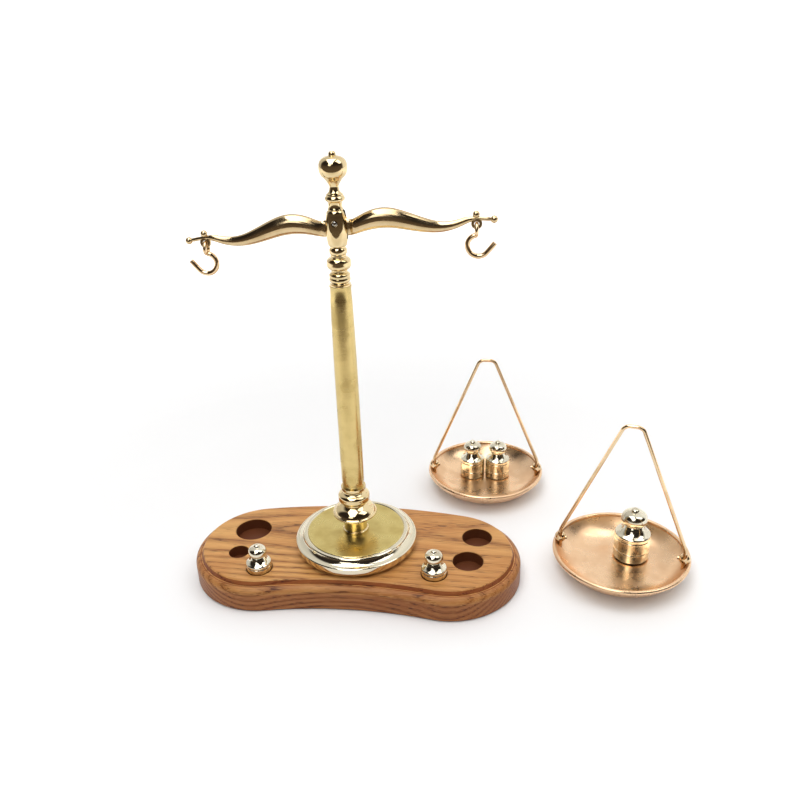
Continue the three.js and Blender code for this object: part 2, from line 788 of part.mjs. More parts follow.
// Bail: both ends turn in through the studs. The legs rise straight out of the studs' slots,
// then lean in to a short flat top.
function bailGeometry() {
  const end = new THREE.Vector3(studReach - studBallRadius - bailEndOverhang, 0, bailAxisHeight);
  const ear = new THREE.Vector3(studReach, 0, bailAxisHeight);
  const shoulder = new THREE.Vector3(studReach, 0, bailShoulderHeight);
  const top = new THREE.Vector3(bailTopHalfWidth, 0, bailTopHeight);
  const mirror = (point) => new THREE.Vector3(-point.x, 0, point.z);
  const half = [end, ear, shoulder, top];
  const corners = [...half, ...half.map(mirror).reverse()];
  const halfBends = [bailEarBendRadius, bailShoulderBendRadius, bailTopBendRadius];
  const bends = [...halfBends, ...halfBends.toReversed()];
  const points = [end];
  bends.forEach((radius, k) => {
    const corner = corners[k + 1];
    const toBefore = corners[k].clone().sub(corner).normalize();
    const toAfter = corners[k + 2].clone().sub(corner).normalize();
    const cutBack = radius / Math.tan(toBefore.angleTo(toAfter) / 2);
    const bendStart = corner.clone().addScaledVector(toBefore, cutBack);
    const bendEnd = corner.clone().addScaledVector(toAfter, cutBack);
    points.push(...new THREE.QuadraticBezierCurve3(bendStart, corner, bendEnd).getPoints(bendSteps));
  });
  points.push(corners.at(-1));
  return wire(points, bailWireRadius);
}

// Weight: a stepped body, a drawn-in neck and a knob
function weightGeometry(radius) {
  const profile = turnedProfile(weightShares, radius, 0, radius * weightHeightShare);
  profile.unshift(new THREE.Vector2(0, 0));
  return turned(profile, weightSides);
}

// Assembly
const scale = new THREE.Group();

function addPiece(parent, name, geometry, material, x = 0, y = 0, z = 0) {
  const mesh = new THREE.Mesh(geometry, material);
  mesh.name = name;
  mesh.position.set(x, y, z);
  parent.add(mesh);
  return mesh;
}

function addTurned(name, shares, radius, bottom, height, material, sides = turnedSides) {
  const geometry = boredTurning(shares, radius, bottom, height, rodBoreRadius, sides);
  return addPiece(scale, name, geometry, material);
}

addPiece(scale, 'wood_base', boardGeometry(), oak);
addPiece(scale, 'base_felt', feltGeometry(), felt);
addPiece(scale, 'tie_rod', rodGeometry(), steel);
addPiece(scale, 'tie_washer', ringPlate(washerRadius, nutTop, washerTop, turnedSides), steel);
addPiece(scale, 'tie_nut', ringPlate(nutRadius, nutBottom, nutTop, 6), steel);
addTurned('foot_plate', footShares, footRadius, boardTop, footHeight, satinBrass, wideTurnedSides);
addTurned('foot_bell', bellShares, bellRadius, bellBottom, bellHeight, polishedBrass);
addTurned('collar', collarShares, collarRadius, collarBottom, collarHeight, polishedBrass);
addTurned('column', columnShares, columnRadius, columnBottom, columnHeight, satinBrass);
addTurned('lower_bulb', lowerBulbShares, lowerBulbRadius, lowerBulbBottom, lowerBulbHeight, polishedBrass);
addTurned('upper_bulb', upperBulbShares, upperBulbRadius, upperBulbBottom, upperBulbHeight, polishedBrass);
addPiece(scale, 'beam_head', headGeometry(), polishedBrass);
addPiece(scale, 'head_cap', capGeometry(), polishedBrass);
addPiece(scale, 'finial', finialGeometry(), polishedBrass);

const pivotPoint = new THREE.Vector3(0, 0, pivotHeight);
const pin = cylinder(pivotPinRadius, pivotPinLength, smallTurnedSides, pivotPoint, alongY);
addPiece(scale, 'pivot_pin', pin, steel);

const rockingBeam = new THREE.Group();
rockingBeam.position.copy(pivotPoint);
rockingBeam.rotation.y = -beamTilt;
scale.add(rockingBeam);
addPiece(rockingBeam, 'beam', beamGeometry(), polishedBrass);

for (const [name, side] of [['left_hook', -1], ['right_hook', 1]]) {
  const seat = lugCentre(side).applyAxisAngle(alongY, -beamTilt).add(pivotPoint);
  addPiece(scale, name, hookGeometry(side), wireBrass, seat.x, seat.y, seat.z);
}

function addPan(name, place, turn) {
  const group = new THREE.Group();
  group.position.set(place.x, place.y, 0);
  group.rotation.z = turn;
  scale.add(group);
  addPiece(group, `${name}_pan`, panGeometry(), panBrass);
  addPiece(group, `${name}_left_stud`, studGeometry(-1), wireBrass, -studReach);
  addPiece(group, `${name}_right_stud`, studGeometry(1), wireBrass, studReach);
  addPiece(group, `${name}_bail`, bailGeometry(), wireBrass);
}
addPan('rear', rearPanPlace, rearPanTurn);
addPan('front', frontPanPlace, frontPanTurn);

function addPanWeight(name, radius, place, shares) {
  const [across, back] = shares.map((share) => share * panRadius);
  const height = panFaceHeight(Math.hypot(across, back) + radius, -panWall / 2) + weightRestGap;
  addPiece(scale, name, weightGeometry(radius), weightBrass, place.x + across, place.y + back, height);
}
addPanWeight('rear_left_weight', mediumWeightRadius, rearPanPlace, rearLeftWeightShares);
addPanWeight('rear_right_weight', mediumWeightRadius, rearPanPlace, rearRightWeightShares);
addPanWeight('front_weight', largeWeightRadius, frontPanPlace, frontWeightShares);

function addBoardWeight(name, shares) {
  const place = socketPlace(shares);
  const floor = boardTop - socketDepth;
  addPiece(scale, name, weightGeometry(smallWeightRadius), weightBrass, place.x, place.y, floor);
}
addBoardWeight('board_left_weight', leftSmallSocketShares);
addBoardWeight('board_right_weight', rightSmallSocketShares);

export default scale;
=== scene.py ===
import math

import bmesh
import bpy
from mathutils import Matrix, Vector


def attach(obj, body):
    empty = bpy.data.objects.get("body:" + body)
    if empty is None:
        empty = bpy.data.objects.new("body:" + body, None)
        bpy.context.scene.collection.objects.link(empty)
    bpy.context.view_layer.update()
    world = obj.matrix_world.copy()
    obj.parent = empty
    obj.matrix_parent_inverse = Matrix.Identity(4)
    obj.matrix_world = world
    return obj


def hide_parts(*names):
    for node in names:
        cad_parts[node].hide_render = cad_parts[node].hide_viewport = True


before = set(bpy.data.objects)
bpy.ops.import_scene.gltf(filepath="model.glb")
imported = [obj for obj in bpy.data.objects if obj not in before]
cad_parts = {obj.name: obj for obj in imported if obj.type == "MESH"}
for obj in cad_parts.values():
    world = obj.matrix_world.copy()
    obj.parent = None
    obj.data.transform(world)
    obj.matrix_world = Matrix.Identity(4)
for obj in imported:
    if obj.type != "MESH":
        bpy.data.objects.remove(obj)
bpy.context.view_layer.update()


# The oak board is one plank sawn to two round lobes, with a swelling back edge and a hollow
# front edge. Its upper edge is routed to a quarter round below a low step, flat-bottomed
# sockets for the weights are drilled into its top, and it is varnished, with the grain along X.
MM = 0.001
NEAR, TINY = 0.1 * MM, 0.001 * MM
LOBE_REACH = 57 * MM
LOBE_RADIUS = 43 * MM
BOARD_MIDDLE = -3.4 * MM
BACK_BULGE = 6 * MM
FRONT_DIP = 5.5 * MM
BOARD_BOTTOM = 0.6 * MM
BOARD_LEDGE = 15.6 * MM
BOARD_TOP = 18.6 * MM
ROUND_OVER = 4 * MM
TOP_EDGE = 0.7 * MM
STEP_BATTER = 1.15 * MM
SOCKET_FLOOR = 11.6 * MM
SOCKET_CHAMFER = 0.35 * MM
# Each socket's middle across and back, and its radius, in mm.
SOCKETS = [
    (-68.17, 9.46, 11.15),
    (-70.68, -14.37, 6.15),
    (73.42, 10.88, 9.15),
    (68.74, -13.38, 9.15),
    (-53.92, -28.64, 7.75),
    (49.59, -26.41, 7.75),
]
ROD_BORE, BORE_MIDDLE, BORE_LENGTH = 2.3 * MM, 10 * MM, 30 * MM
NUT_POCKET, POCKET_MIDDLE, POCKET_LENGTH = 8 * MM, 3.1 * MM, 7 * MM
# Painted shade on the board's edge: how strongly the sides, the round over and the step face are
# painted darker where less light falls on them.
SIDE_SHADE, ROUND_SHADE, STEP_SHADE = 0.8, 0.45, 1.0


def single_point(name, place):
    """A new object that holds one vertex, left in edit mode with the vertex selected."""
    bpy.ops.object.select_all(action="DESELECT")
    bpy.ops.mesh.primitive_plane_add(size=MM)
    piece = bpy.context.object
    piece.name = name
    bpy.ops.object.mode_set(mode="EDIT")
    bpy.ops.mesh.merge(type="CENTER")
    bpy.ops.transform.translate(value=place)
    return piece


def only(piece):
    """Makes the piece the active object and the only selected one."""
    bpy.ops.object.select_all(action="DESELECT")
    bpy.context.view_layer.objects.active = piece
    piece.select_set(True)


def select_at(piece, kind, test):
    """Selects, in edit mode, the faces or edges whose corners all pass the test."""
    bpy.ops.mesh.select_all(action="DESELECT")
    shape = bmesh.from_edit_mesh(piece.data)
    for part in shape.faces if kind == "faces" else shape.edges:
        if all(test(corner.co) for corner in part.verts):
            part.select_set(True)
    bmesh.update_edit_mesh(piece.data)


def push(step):
    """Extrudes what is selected by the step."""
    bpy.ops.mesh.extrude_region_move(TRANSFORM_OT_translate={"value": step})


def board_slab(name, inset, bottom, top):
    """A slab with the board's outline, inset, drawn as four tangent arcs, left in edit mode."""
    back_drop = (LOBE_REACH**2 - BACK_BULGE**2) / (2 * BACK_BULGE)
    front_drop = (LOBE_REACH**2 + FRONT_DIP**2) / (2 * FRONT_DIP) - FRONT_DIP
    back_turn = math.atan2(back_drop, LOBE_REACH)
    front_turn = math.atan2(front_drop, LOBE_REACH)
    radius = LOBE_RADIUS - inset
    start_x = LOBE_REACH - radius * math.cos(front_turn)
    start_y = BOARD_MIDDLE - radius * math.sin(front_turn)
    lobe_turn = math.pi + back_turn - front_turn
    piece = single_point(name, (start_x, start_y, bottom))
    arcs = [
        ((LOBE_REACH, BOARD_MIDDLE, 0), lobe_turn, 80),
        ((0, BOARD_MIDDLE - back_drop, 0), math.pi - 2 * back_turn, 40),
        ((-LOBE_REACH, BOARD_MIDDLE, 0), lobe_turn, 80),
        ((0, BOARD_MIDDLE - front_drop, 0), 2 * front_turn - math.pi, 40),
    ]
    for centre, sweep, steps in arcs:
        bpy.ops.mesh.spin(steps=steps, angle=-sweep, center=centre, axis=(0, 0, 1))
    bpy.ops.mesh.select_all(action="SELECT")
    bpy.ops.mesh.remove_doubles(threshold=0.01 * MM)
    bpy.ops.mesh.edge_face_add()
    push((0, 0, top - bottom))
    bpy.ops.mesh.select_all(action="SELECT")
    bpy.ops.mesh.normals_make_consistent(inside=False)
    return piece


def apply(piece, kind, **settings):
    """Adds a modifier of the kind with the settings and applies it."""
    only(piece)
    modifier = piece.modifiers.new(kind.lower(), kind)
    for setting, value in settings.items():
        setattr(modifier, setting, value)
    bpy.ops.object.modifier_apply(modifier=modifier.name)


def carve(piece, tool, operation="DIFFERENCE"):
    """Cuts the tool out of the piece, or joins it on, and removes the tool."""
    apply(piece, "BOOLEAN", object=tool, operation=operation, solver="EXACT")
    bpy.data.objects.remove(tool)


def rod(radius, middle, length, turned=(0, 0, 0), sides=64):
    """A plain round bar at its middle, for a tool or a start."""
    bpy.ops.object.select_all(action="DESELECT")
    bpy.ops.mesh.primitive_cylinder_add(
        vertices=sides, radius=radius, depth=length, location=middle, rotation=turned)
    bpy.ops.object.transform_apply()
    return bpy.context.object


def smooth(piece, angle=35, weighted=False):
    """Shades the piece smooth up to the angle, with flat faces kept flat where weighted."""
    only(piece)
    bpy.ops.object.shade_smooth_by_angle(angle=math.radians(angle))
    if weighted:
        apply(piece, "WEIGHTED_NORMAL", keep_sharp=True, weight=80)


def fit(piece, finish, body, slot, *nodes):
    """Gives the piece its finish and ties it to its body, slot and CAD nodes."""
    piece.data.materials.clear()
    piece.data.materials.append(finish)
    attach(piece, body)
    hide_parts(*nodes)


board = board_slab("oak_board", 0, BOARD_BOTTOM, BOARD_LEDGE)
select_at(board, "edges", lambda spot: spot.z > BOARD_LEDGE - NEAR)
bpy.ops.mesh.bevel(offset=ROUND_OVER, segments=12, profile=0.5, clamp_overlap=False)
select_at(board, "faces", lambda spot: spot.z > BOARD_LEDGE - TINY)
bpy.ops.mesh.inset(thickness=STEP_BATTER, depth=BOARD_TOP - BOARD_LEDGE)
select_at(board, "edges", lambda spot: spot.z > BOARD_TOP - NEAR)
bpy.ops.mesh.bevel(offset=TOP_EDGE, segments=4, profile=0.5)
select_at(board, "edges", lambda spot: spot.z < BOARD_BOTTOM + NEAR)
bpy.ops.mesh.bevel(offset=TOP_EDGE, segments=3, profile=0.5)
bpy.ops.object.mode_set(mode="OBJECT")
mouth = BOARD_TOP - SOCKET_CHAMFER
for across, back, radius in SOCKETS:
    socket = rod(radius * MM, (across * MM, back * MM, (SOCKET_FLOOR + mouth) / 2),
                 mouth - SOCKET_FLOOR, sides=96)
    bpy.ops.object.mode_set(mode="EDIT")
    select_at(socket, "faces", lambda spot: spot.z > mouth - NEAR)
    flare = 1 + SOCKET_CHAMFER / (radius * MM)
    for rise, spread in ((SOCKET_CHAMFER, flare), (MM, 1)):
        push((0, 0, rise))
        bpy.ops.transform.resize(
            value=(spread, spread, 1), center_override=(across * MM, back * MM, mouth))
    bpy.ops.object.mode_set(mode="OBJECT")
    carve(board, socket)
carve(board, rod(ROD_BORE, (0, 0, BORE_MIDDLE), BORE_LENGTH))
carve(board, rod(NUT_POCKET, (0, 0, POCKET_MIDDLE), POCKET_LENGTH))
smooth(board, weighted=True)
# The socket walls and floors are marked to be painted dark, as painted shade in the recesses.
socket_shade = board.data.attributes.new("socket_shade", "FLOAT", "FACE")
for face, mark in zip(board.data.polygons, socket_shade.data):
    reach = min(math.dist(face.center.xy, (across * MM, back * MM)) - radius * MM
                for across, back, radius in SOCKETS)
    mark.value = float(reach < 0.05 * MM and face.center.z < mouth + 0.01 * MM)
# Each face of the edge is marked for painted shade: the sides, the round over and the shaded step
# face below the top.
edge_shade = board.data.attributes.new("edge_shade", "FLOAT", "FACE")
for face, mark in zip(board.data.polygons, edge_shade.data):
    rise = face.center.z
    if rise < BOARD_LEDGE - ROUND_OVER:
        mark.value = SIDE_SHADE
    elif rise < BOARD_LEDGE - 0.2 * MM:
        mark.value = ROUND_SHADE
    elif rise < BOARD_TOP - TOP_EDGE and abs(face.normal.z) < 0.99:
        mark.value = STEP_SHADE


def node(tree, kind, inputs=None, **settings):
    """A shader node with its settings, each input given a value or a link."""
    made = tree.nodes.new("ShaderNode" + kind)
    for setting, value in settings.items():
        setattr(made, setting, value)
    for socket, value in (inputs or {}).items():
        if isinstance(value, bpy.types.NodeSocket):
            tree.links.new(value, made.inputs[socket])
        else:
            made.inputs[socket].default_value = value
    return made


def ramp(tree, factor, stops):
    """A colour ramp through (position, colour) stops, read at the factor."""
    made = node(tree, "ValToRGB", {"Fac": factor})
    points = made.color_ramp.elements
    while len(points) < len(stops):
        points.new(0.5)
    for point, (position, colour) in zip(points, stops):
        point.position = position
        point.color = (*colour, 1)
    return made.outputs["Color"]


def grey(value):
    """A colour of three equal shares."""
    return (value, value, value)


def mask(tree, factor, start, end):
    """Rises smoothly from nought to one as the factor goes from start to end."""
    made = node(tree, "MapRange", {"Value": factor, 1: start, 2: end},
                interpolation_type="SMOOTHSTEP")
    return made.outputs["Result"]


def blend_colours(tree, factor, first, second, how="MIX"):
    """Mixes two colours by the factor."""
    made = node(tree, "Mix", {0: factor, 6: first, 7: second}, data_type="RGBA", blend_type=how)
    return made.outputs[2]


def maths(tree, how, first, second):
    """The sum, product or the like of two values."""
    return node(tree, "Math", {0: first, 1: second}, operation=how).outputs[0]


def grain_noise(tree, spot, stretch, detail=2.0):
    """Noise over the spot, with the given number of features per metre along each axis."""
    place = node(tree, "Mapping", {"Vector": spot, "Scale": stretch}).outputs[0]
    return node(tree, "TexNoise", {"Vector": place, "Scale": 1.0, "Detail": detail})


def new_finish(name, **fixed):
    """A material, its node tree and its shader with the shader's fixed values set."""
    material = bpy.data.materials.new(name)
    material.use_nodes = True
    shader = material.node_tree.nodes["Principled BSDF"]
    for socket, value in fixed.items():
        shader.inputs[socket.replace("_", " ")].default_value = value
    return material, material.node_tree, shader


def dress(tree, shader, colour, rough, strength, distance, height):
    """Links the colour, the roughness and the relief of a finish to its shader."""
    relief = node(tree, "Bump", {"Strength": strength, "Distance": distance, "Height": height})
    for socket, value in (("Base Color", colour), ("Roughness", rough),
                          ("Normal", relief.outputs[0])):
        tree.links.new(value, shader.inputs[socket])


oak, tree, shader = new_finish("varnished_oak", Specular_IOR_Level=0.25)
spot = node(tree, "TexCoord").outputs["Object"]
sway = grain_noise(tree, spot, (7, 22, 22)).outputs["Color"]
sway = node(tree, "VectorMath", {0: sway, 1: (0.5, 0.5, 0.5)}, operation="SUBTRACT").outputs[0]
sway = node(tree, "VectorMath", {0: sway, 1: (0, 0.008, 0.008)}, operation="MULTIPLY").outputs[0]
log = node(tree, "Mapping", {
    "Vector": spot, "Location": (0, -0.012, 0.05), "Rotation": (0, 0.02, -0.015)}).outputs[0]
log = node(tree, "VectorMath", {0: log, 1: sway}, operation="ADD").outputs[0]
rings = node(tree, "TexWave", {"Vector": log, "Scale": 120.0}, wave_type="RINGS",
             rings_direction="X", wave_profile="SAW").outputs["Fac"]
fibre = grain_noise(tree, spot, (70, 2200, 2200), 3.0).outputs["Fac"]
tone = grain_noise(tree, spot, (9, 34, 34), 3.0).outputs["Fac"]
pores = grain_noise(tree, spot, (110, 1500, 1500), 1.0).outputs["Fac"]
early = ramp(tree, rings, [(0.0, (1, 1, 1)), (0.3, (0.55, 0.55, 0.55)), (0.62, (0.1, 0.1, 0.1)),
                           (0.9, (0.2, 0.2, 0.2)), (1.0, (1, 1, 1))])
figure = ramp(tree, rings, [
    (0.0, (0.22, 0.075, 0.02)), (0.14, (0.4, 0.17, 0.048)), (0.5, (0.66, 0.35, 0.115)),
    (0.86, (0.52, 0.24, 0.074)), (1.0, (0.22, 0.075, 0.02))])
figure = blend_colours(tree, mask(tree, tone, 0.38, 0.72), figure, (0.46, 0.19, 0.052, 1))
figure = blend_colours(tree, mask(tree, fibre, 0.42, 0.85), figure, (0.68, 0.38, 0.13, 1))
open_pores = maths(tree, "MULTIPLY", mask(tree, pores, 0.56, 0.66), early)
figure = blend_colours(tree, open_pores, figure, (0.11, 0.038, 0.014, 1))
# Painted shade: the sockets are painted dark brown.
socket_shade = node(tree, "Attribute", attribute_name="socket_shade").outputs["Fac"]
figure = blend_colours(tree, socket_shade, figure, (0.15, 0.05, 0.018, 1))
# Painted shade: the sides, the round over and the step are darkened by the edge mark.
edge_shade = node(tree, "Attribute", attribute_name="edge_shade").outputs["Fac"]
figure = blend_colours(tree, edge_shade, figure, (0.54, 0.33, 0.28, 1), "MULTIPLY")
gloss = node(tree, "MapRange", {"Value": fibre, 3: 0.34, 4: 0.5}).outputs["Result"]
depth = maths(tree, "SUBTRACT", maths(tree, "MULTIPLY", fibre, 0.25), open_pores)
dress(tree, shader, figure, gloss, strength=0.5, distance=0.12 * MM, height=depth)
fit(board, oak, "stand", "oak", "wood_base")


# A sheet of wool felt is cut a little smaller than the board and glued under it, so that the
# scale doesn't mark a table. It hides the nut in the board's counterbore.
FELT_INSET = 0.8 * MM
felt_sheet = board_slab("felt_sheet", FELT_INSET, 0, BOARD_BOTTOM)
bpy.ops.object.mode_set(mode="OBJECT")
apply(felt_sheet, "BEVEL", width=0.15 * MM, segments=3, limit_method="ANGLE")
smooth(felt_sheet, weighted=True)
wool, tree, shader = new_finish("wool_felt", Sheen_Weight=0.6, Sheen_Roughness=0.6)
spot = node(tree, "TexCoord").outputs["Object"]
hairs = grain_noise(tree, spot, (2600, 900, 1500), 4.0).outputs["Fac"]
clouds = grain_noise(tree, spot, (60, 60, 60), 3.0).outputs["Fac"]
shade = ramp(tree, hairs, [(0.3, (0.03, 0.016, 0.01)), (0.7, (0.085, 0.048, 0.03))])
shade = blend_colours(tree, mask(tree, clouds, 0.4, 0.7), shade, (0.05, 0.027, 0.017, 1))
worn = node(tree, "MapRange", {"Value": clouds, 3: 0.88, 4: 1.0}).outputs["Result"]
dress(tree, shader, shade, worn, strength=0.8, distance=0.15 * MM, height=hairs)
fit(felt_sheet, wool, "stand", "felt", "base_felt")


# The foot plate is a brass disc turned with a rounded base, a hollow above it and a ring cut
# near the edge of its flat top. The top is brushed and lacquered, which gives it a greenish
# yellow, and the rim is left bright.
ARC_STEPS = 8
EASED_EDGE = 0.14 * MM


def stack(rows, radius, bottom, height):
    """Points from rows of shares: distance from the axis, height, and bulge of the run there."""
    return [(r * radius, bottom + h * height, b * radius) for r, h, b in rows]


def eased(points):
    """Rounds each sharp corner of a profile and puts a support point beside the round."""
    rounded = [points[0]]
    for before, corner, after in zip(points, points[1:], points[2:]):
        back, ahead = before - corner, after - corner
        turn_angle = math.pi - back.angle(ahead)
        if turn_angle < math.radians(22):
            rounded.append(corner)
            continue
        cut = min(EASED_EDGE, 0.4 * back.length, 0.4 * ahead.length)
        start, end = corner + back.normalized() * cut, corner + ahead.normalized() * cut
        if back.length > 5 * cut:
            rounded.append(corner + back.normalized() * 2.2 * cut)
        rounded += [start, start * 0.44 + corner * 0.45 + end * 0.11,
                    start * 0.11 + corner * 0.45 + end * 0.44, end]
        if ahead.length > 5 * cut:
            rounded.append(corner + ahead.normalized() * 2.2 * cut)
    return rounded + [points[-1]]


def turn(name, profile, steps=96):
    """Draws a profile, spins it once round the Z axis, and stores where each vertex lies
    across and along the lathe, which the tool marks follow."""
    points = []
    for distance, height, bulge in profile:
        end = Vector((distance, height))
        start = points[-1] if points else end
        if bulge:
            out = Vector((end.y - start.y, start.x - end.x)).normalized()
            for k in range(1, ARC_STEPS):
                share = k / ARC_STEPS
                points.append(start.lerp(end, share) + out * (4 * share * (1 - share) * bulge))
        points.append(end)
    if profile[0][0] > 0 and profile[-1][0] > 0:
        points.append(points[0])
    points = eased(points)
    piece = single_point(name, (points[0].x, 0, points[0].y))
    for start, end in zip(points, points[1:]):
        push((end.x - start.x, 0, end.y - start.y))
    bpy.ops.mesh.select_all(action="SELECT")
    bpy.ops.mesh.spin(steps=steps, angle=2 * math.pi, center=(0, 0, 0), axis=(0, 0, 1))
    bpy.ops.mesh.select_all(action="SELECT")
    bpy.ops.mesh.remove_doubles(threshold=TINY)
    bpy.ops.mesh.normals_make_consistent(inside=False)
    bpy.ops.object.mode_set(mode="OBJECT")
    smooth(piece)
    marks = piece.data.attributes.new("turning", "FLOAT_VECTOR", "POINT")
    for corner, mark in zip(piece.data.vertices, marks.data):
        mark.vector = (math.hypot(corner.co.x, corner.co.y), 0, corner.co.z)
    return piece


def bored(rows):
    """A profile with the tie rod's bore inside it."""
    return [(ROD_BORE, rows[0][1], 0), *rows, (ROD_BORE, rows[-1][1], 0)]


worked_metal = bpy.data.node_groups.new("worked_metal", "ShaderNodeTree")
for socket, kind in [("Pattern", "Vector"), ("Bright", "Color"), ("Aged", "Color"),
                     ("Aging", "Float"), ("Gloss", "Float"), ("Spread", "Float")]:
    worked_metal.interface.new_socket(socket, in_out="INPUT", socket_type="NodeSocket" + kind)
for socket, kind in [("Color", "Color"), ("Roughness", "Float"), ("Height", "Float")]:
    worked_metal.interface.new_socket(socket, in_out="OUTPUT", socket_type="NodeSocket" + kind)
given = worked_metal.nodes.new("NodeGroupInput").outputs
spot = node(worked_metal, "TexCoord").outputs["Object"]
tooling = node(worked_metal, "TexNoise", {
    "Vector": given["Pattern"], "Scale": 2400.0, "Detail": 2.0}).outputs["Fac"]
chatter = node(worked_metal, "TexNoise", {
    "Vector": given["Pattern"], "Scale": 520.0, "Detail": 2.0}).outputs["Fac"]
patina = grain_noise(worked_metal, spot, (95, 95, 95), 5.0).outputs["Fac"]
specks = grain_noise(worked_metal, spot, (1300, 1300, 1300), 2.0).outputs["Fac"]
cloud = mask(worked_metal, patina, 0.38, 0.72)
spots = mask(worked_metal, specks, 0.68, 0.76)
stain = maths(worked_metal, "MULTIPLY", maths(worked_metal, "ADD", cloud, spots), given["Aging"])
stain = node(worked_metal, "Clamp", {"Value": stain}).outputs[0]
colour = blend_colours(worked_metal, stain, given["Bright"], given["Aged"])
streak = maths(worked_metal, "SUBTRACT", maths(worked_metal, "ADD", tooling, cloud), 0.7)
rough = node(worked_metal, "Math", {0: streak, 1: given["Spread"], 2: given["Gloss"]},
             operation="MULTIPLY_ADD").outputs[0]
height = maths(worked_metal, "ADD", tooling, maths(worked_metal, "MULTIPLY", chatter, 1.5))
taken = worked_metal.nodes.new("NodeGroupOutput").inputs
for socket, value in (("Color", colour), ("Roughness", rough), ("Height", height)):
    worked_metal.links.new(value, taken[socket])


def metal(name, bright, aged, aging, gloss, spread, marks, turned=True):
    """A worked metal: its two colours, how stained, how rough and how deeply marked it is."""
    material, tree, shader = new_finish(name, Metallic=1.0)
    if turned:
        pattern = node(tree, "Attribute", attribute_name="turning").outputs["Vector"]
    else:
        pattern = node(tree, "TexCoord").outputs["Object"]
    worked = tree.nodes.new("ShaderNodeGroup")
    worked.node_tree = worked_metal
    for socket, value in (("Bright", (*bright, 1)), ("Aged", (*aged, 1)), ("Aging", aging),
                          ("Gloss", gloss), ("Spread", spread)):
        worked.inputs[socket].default_value = value
    tree.links.new(pattern, worked.inputs["Pattern"])
    dress(tree, shader, worked.outputs["Color"], worked.outputs["Roughness"],
          strength=marks, distance=0.01 * MM, height=worked.outputs["Height"])
    return material


RIM_BRIGHT_FROM, RIM_BRIGHT_TO = 28.95 * MM, 29.25 * MM
brushed_brass = metal("brushed_brass", (0.66, 0.53, 0.2), (0.47, 0.34, 0.1),
                      aging=0.6, gloss=0.3, spread=0.16, marks=0.6)
tree = brushed_brass.node_tree
shader = tree.nodes["Principled BSDF"]
across = node(tree, "Attribute", attribute_name="turning").outputs["Vector"]
across = node(tree, "SeparateXYZ", {0: across}).outputs["X"]
rim = mask(tree, across, RIM_BRIGHT_FROM, RIM_BRIGHT_TO)
lacquered = shader.inputs["Base Color"].links[0].from_socket
bright = blend_colours(tree, rim, lacquered, (0.78, 0.71, 0.54, 1))
tree.links.new(bright, shader.inputs["Base Color"])
brushed = shader.inputs["Roughness"].links[0].from_socket
polished = node(tree, "MapRange", {"Value": rim, 3: 1.0, 4: 0.3}).outputs["Result"]
tree.links.new(maths(tree, "MULTIPLY", brushed, polished), shader.inputs["Roughness"])
foot = turn("foot_disc", bored(stack([
    (0.86, 0, 0),
    (1, 0.42, 0.036),
    (1, 0.64, 0),
    (0.985, 0.68, 0),
    (0.955, 0.68, 0),
    (0.865, 0.955, -0.02),
    (0.85, 1, 0),
    (0.81, 1, 0),
    (0.8, 0.955, 0),
    (0.79, 1, 0),
], radius=36.6 * MM, bottom=BOARD_TOP, height=10.8 * MM)), steps=160)
fit(foot, brushed_brass, "stand", "satin_brass", "foot_plate")


# The bell and the collar over it are two solid brass turnings, polished on the lathe and
# threaded on the tie rod. The bell flares over a short stem, and the collar is a round bead.
polished_brass = metal("polished_brass", (0.8, 0.64, 0.37), (0.56, 0.41, 0.18),
                       aging=0.4, gloss=0.08, spread=0.08, marks=0.35)
bell = turn("bell_turning", bored(stack([
    (0.59, 0, 0),
    (0.59, 0.06, 0),
    (0.53, 0.09, 0),
    (0.53, 0.36, 0),
    (0.95, 0.61, -0.1),
    (1, 0.64, 0),
    (1, 0.69, 0),
    (0.94, 0.715, 0),
    (0.66, 0.93, 0.05),
    (0.55, 1, 0),
], radius=13.2 * MM, bottom=29.4 * MM, height=19 * MM)))
fit(bell, polished_brass, "stand", "polished_brass", "foot_bell")
bead = turn("collar_turning", bored(stack([
    (0.76, 0, 0),
    (0.76, 0.08, 0),
    (0.8, 0.1, 0),
    (1, 0.365, 0.09),
    (0.8, 0.62, 0.09),
    (0.72, 0.66, 0),
    (0.7, 0.8, -0.03),
    (0.79, 0.86, 0),
    (0.79, 1, 0),
], radius=9.3 * MM, bottom=48.4 * MM, height=11.8 * MM)))
fit(bead, polished_brass, "stand", "polished_brass", "collar")


# The column is a long brass tube with a slow taper, rubbed to a satin along its whole length
# and clamped by the tie rod between the collar and the bulbs.
satin_brass = metal("satin_brass", (0.69, 0.53, 0.225), (0.48, 0.34, 0.11),
                    aging=0.55, gloss=0.22, spread=0.16, marks=0.7)
shaft = turn("column_tube", bored(stack([
    (0.93, 0, 0),
    (0.93, 0.012, 0),
    (0.99, 0.04, 0.01),
    (1, 0.12, 0),
    (0.985, 0.5, 0),
    (0.9, 0.93, 0.015),
    (0.86, 0.985, -0.015),
    (0.9, 1, 0),
], radius=6.6 * MM, bottom=60.2 * MM, height=123.2 * MM)))
fit(shaft, satin_brass, "stand", "satin_brass", "column")


# Two turned bulbs carry the head on top of the column: a drawn-in lower one and a round upper
# one, both polished and threaded on the tie rod.
for name, rows, radius, bottom, height, replaced in [
    ("lower_turning", [
        (1, 0, 0),
        (1, 0.12, 0),
        (0.78, 0.22, -0.05),
        (0.95, 0.58, 0.13),
        (0.74, 0.93, 0.13),
        (0.74, 1, 0),
    ], 5.7 * MM, 183.4 * MM, 7.8 * MM, "lower_bulb"),
    ("upper_turning", [
        (0.66, 0, 0),
        (0.66, 0.1, 0),
        (1, 0.52, 0.14),
        (0.66, 0.92, 0.14),
        (0.66, 1, 0),
    ], 6.4 * MM, 191.2 * MM, 8 * MM, "upper_bulb"),
]:
    bulb = turn(name, bored(stack(rows, radius, bottom, height)))
    fit(bulb, polished_brass, "stand", "polished_brass", replaced)


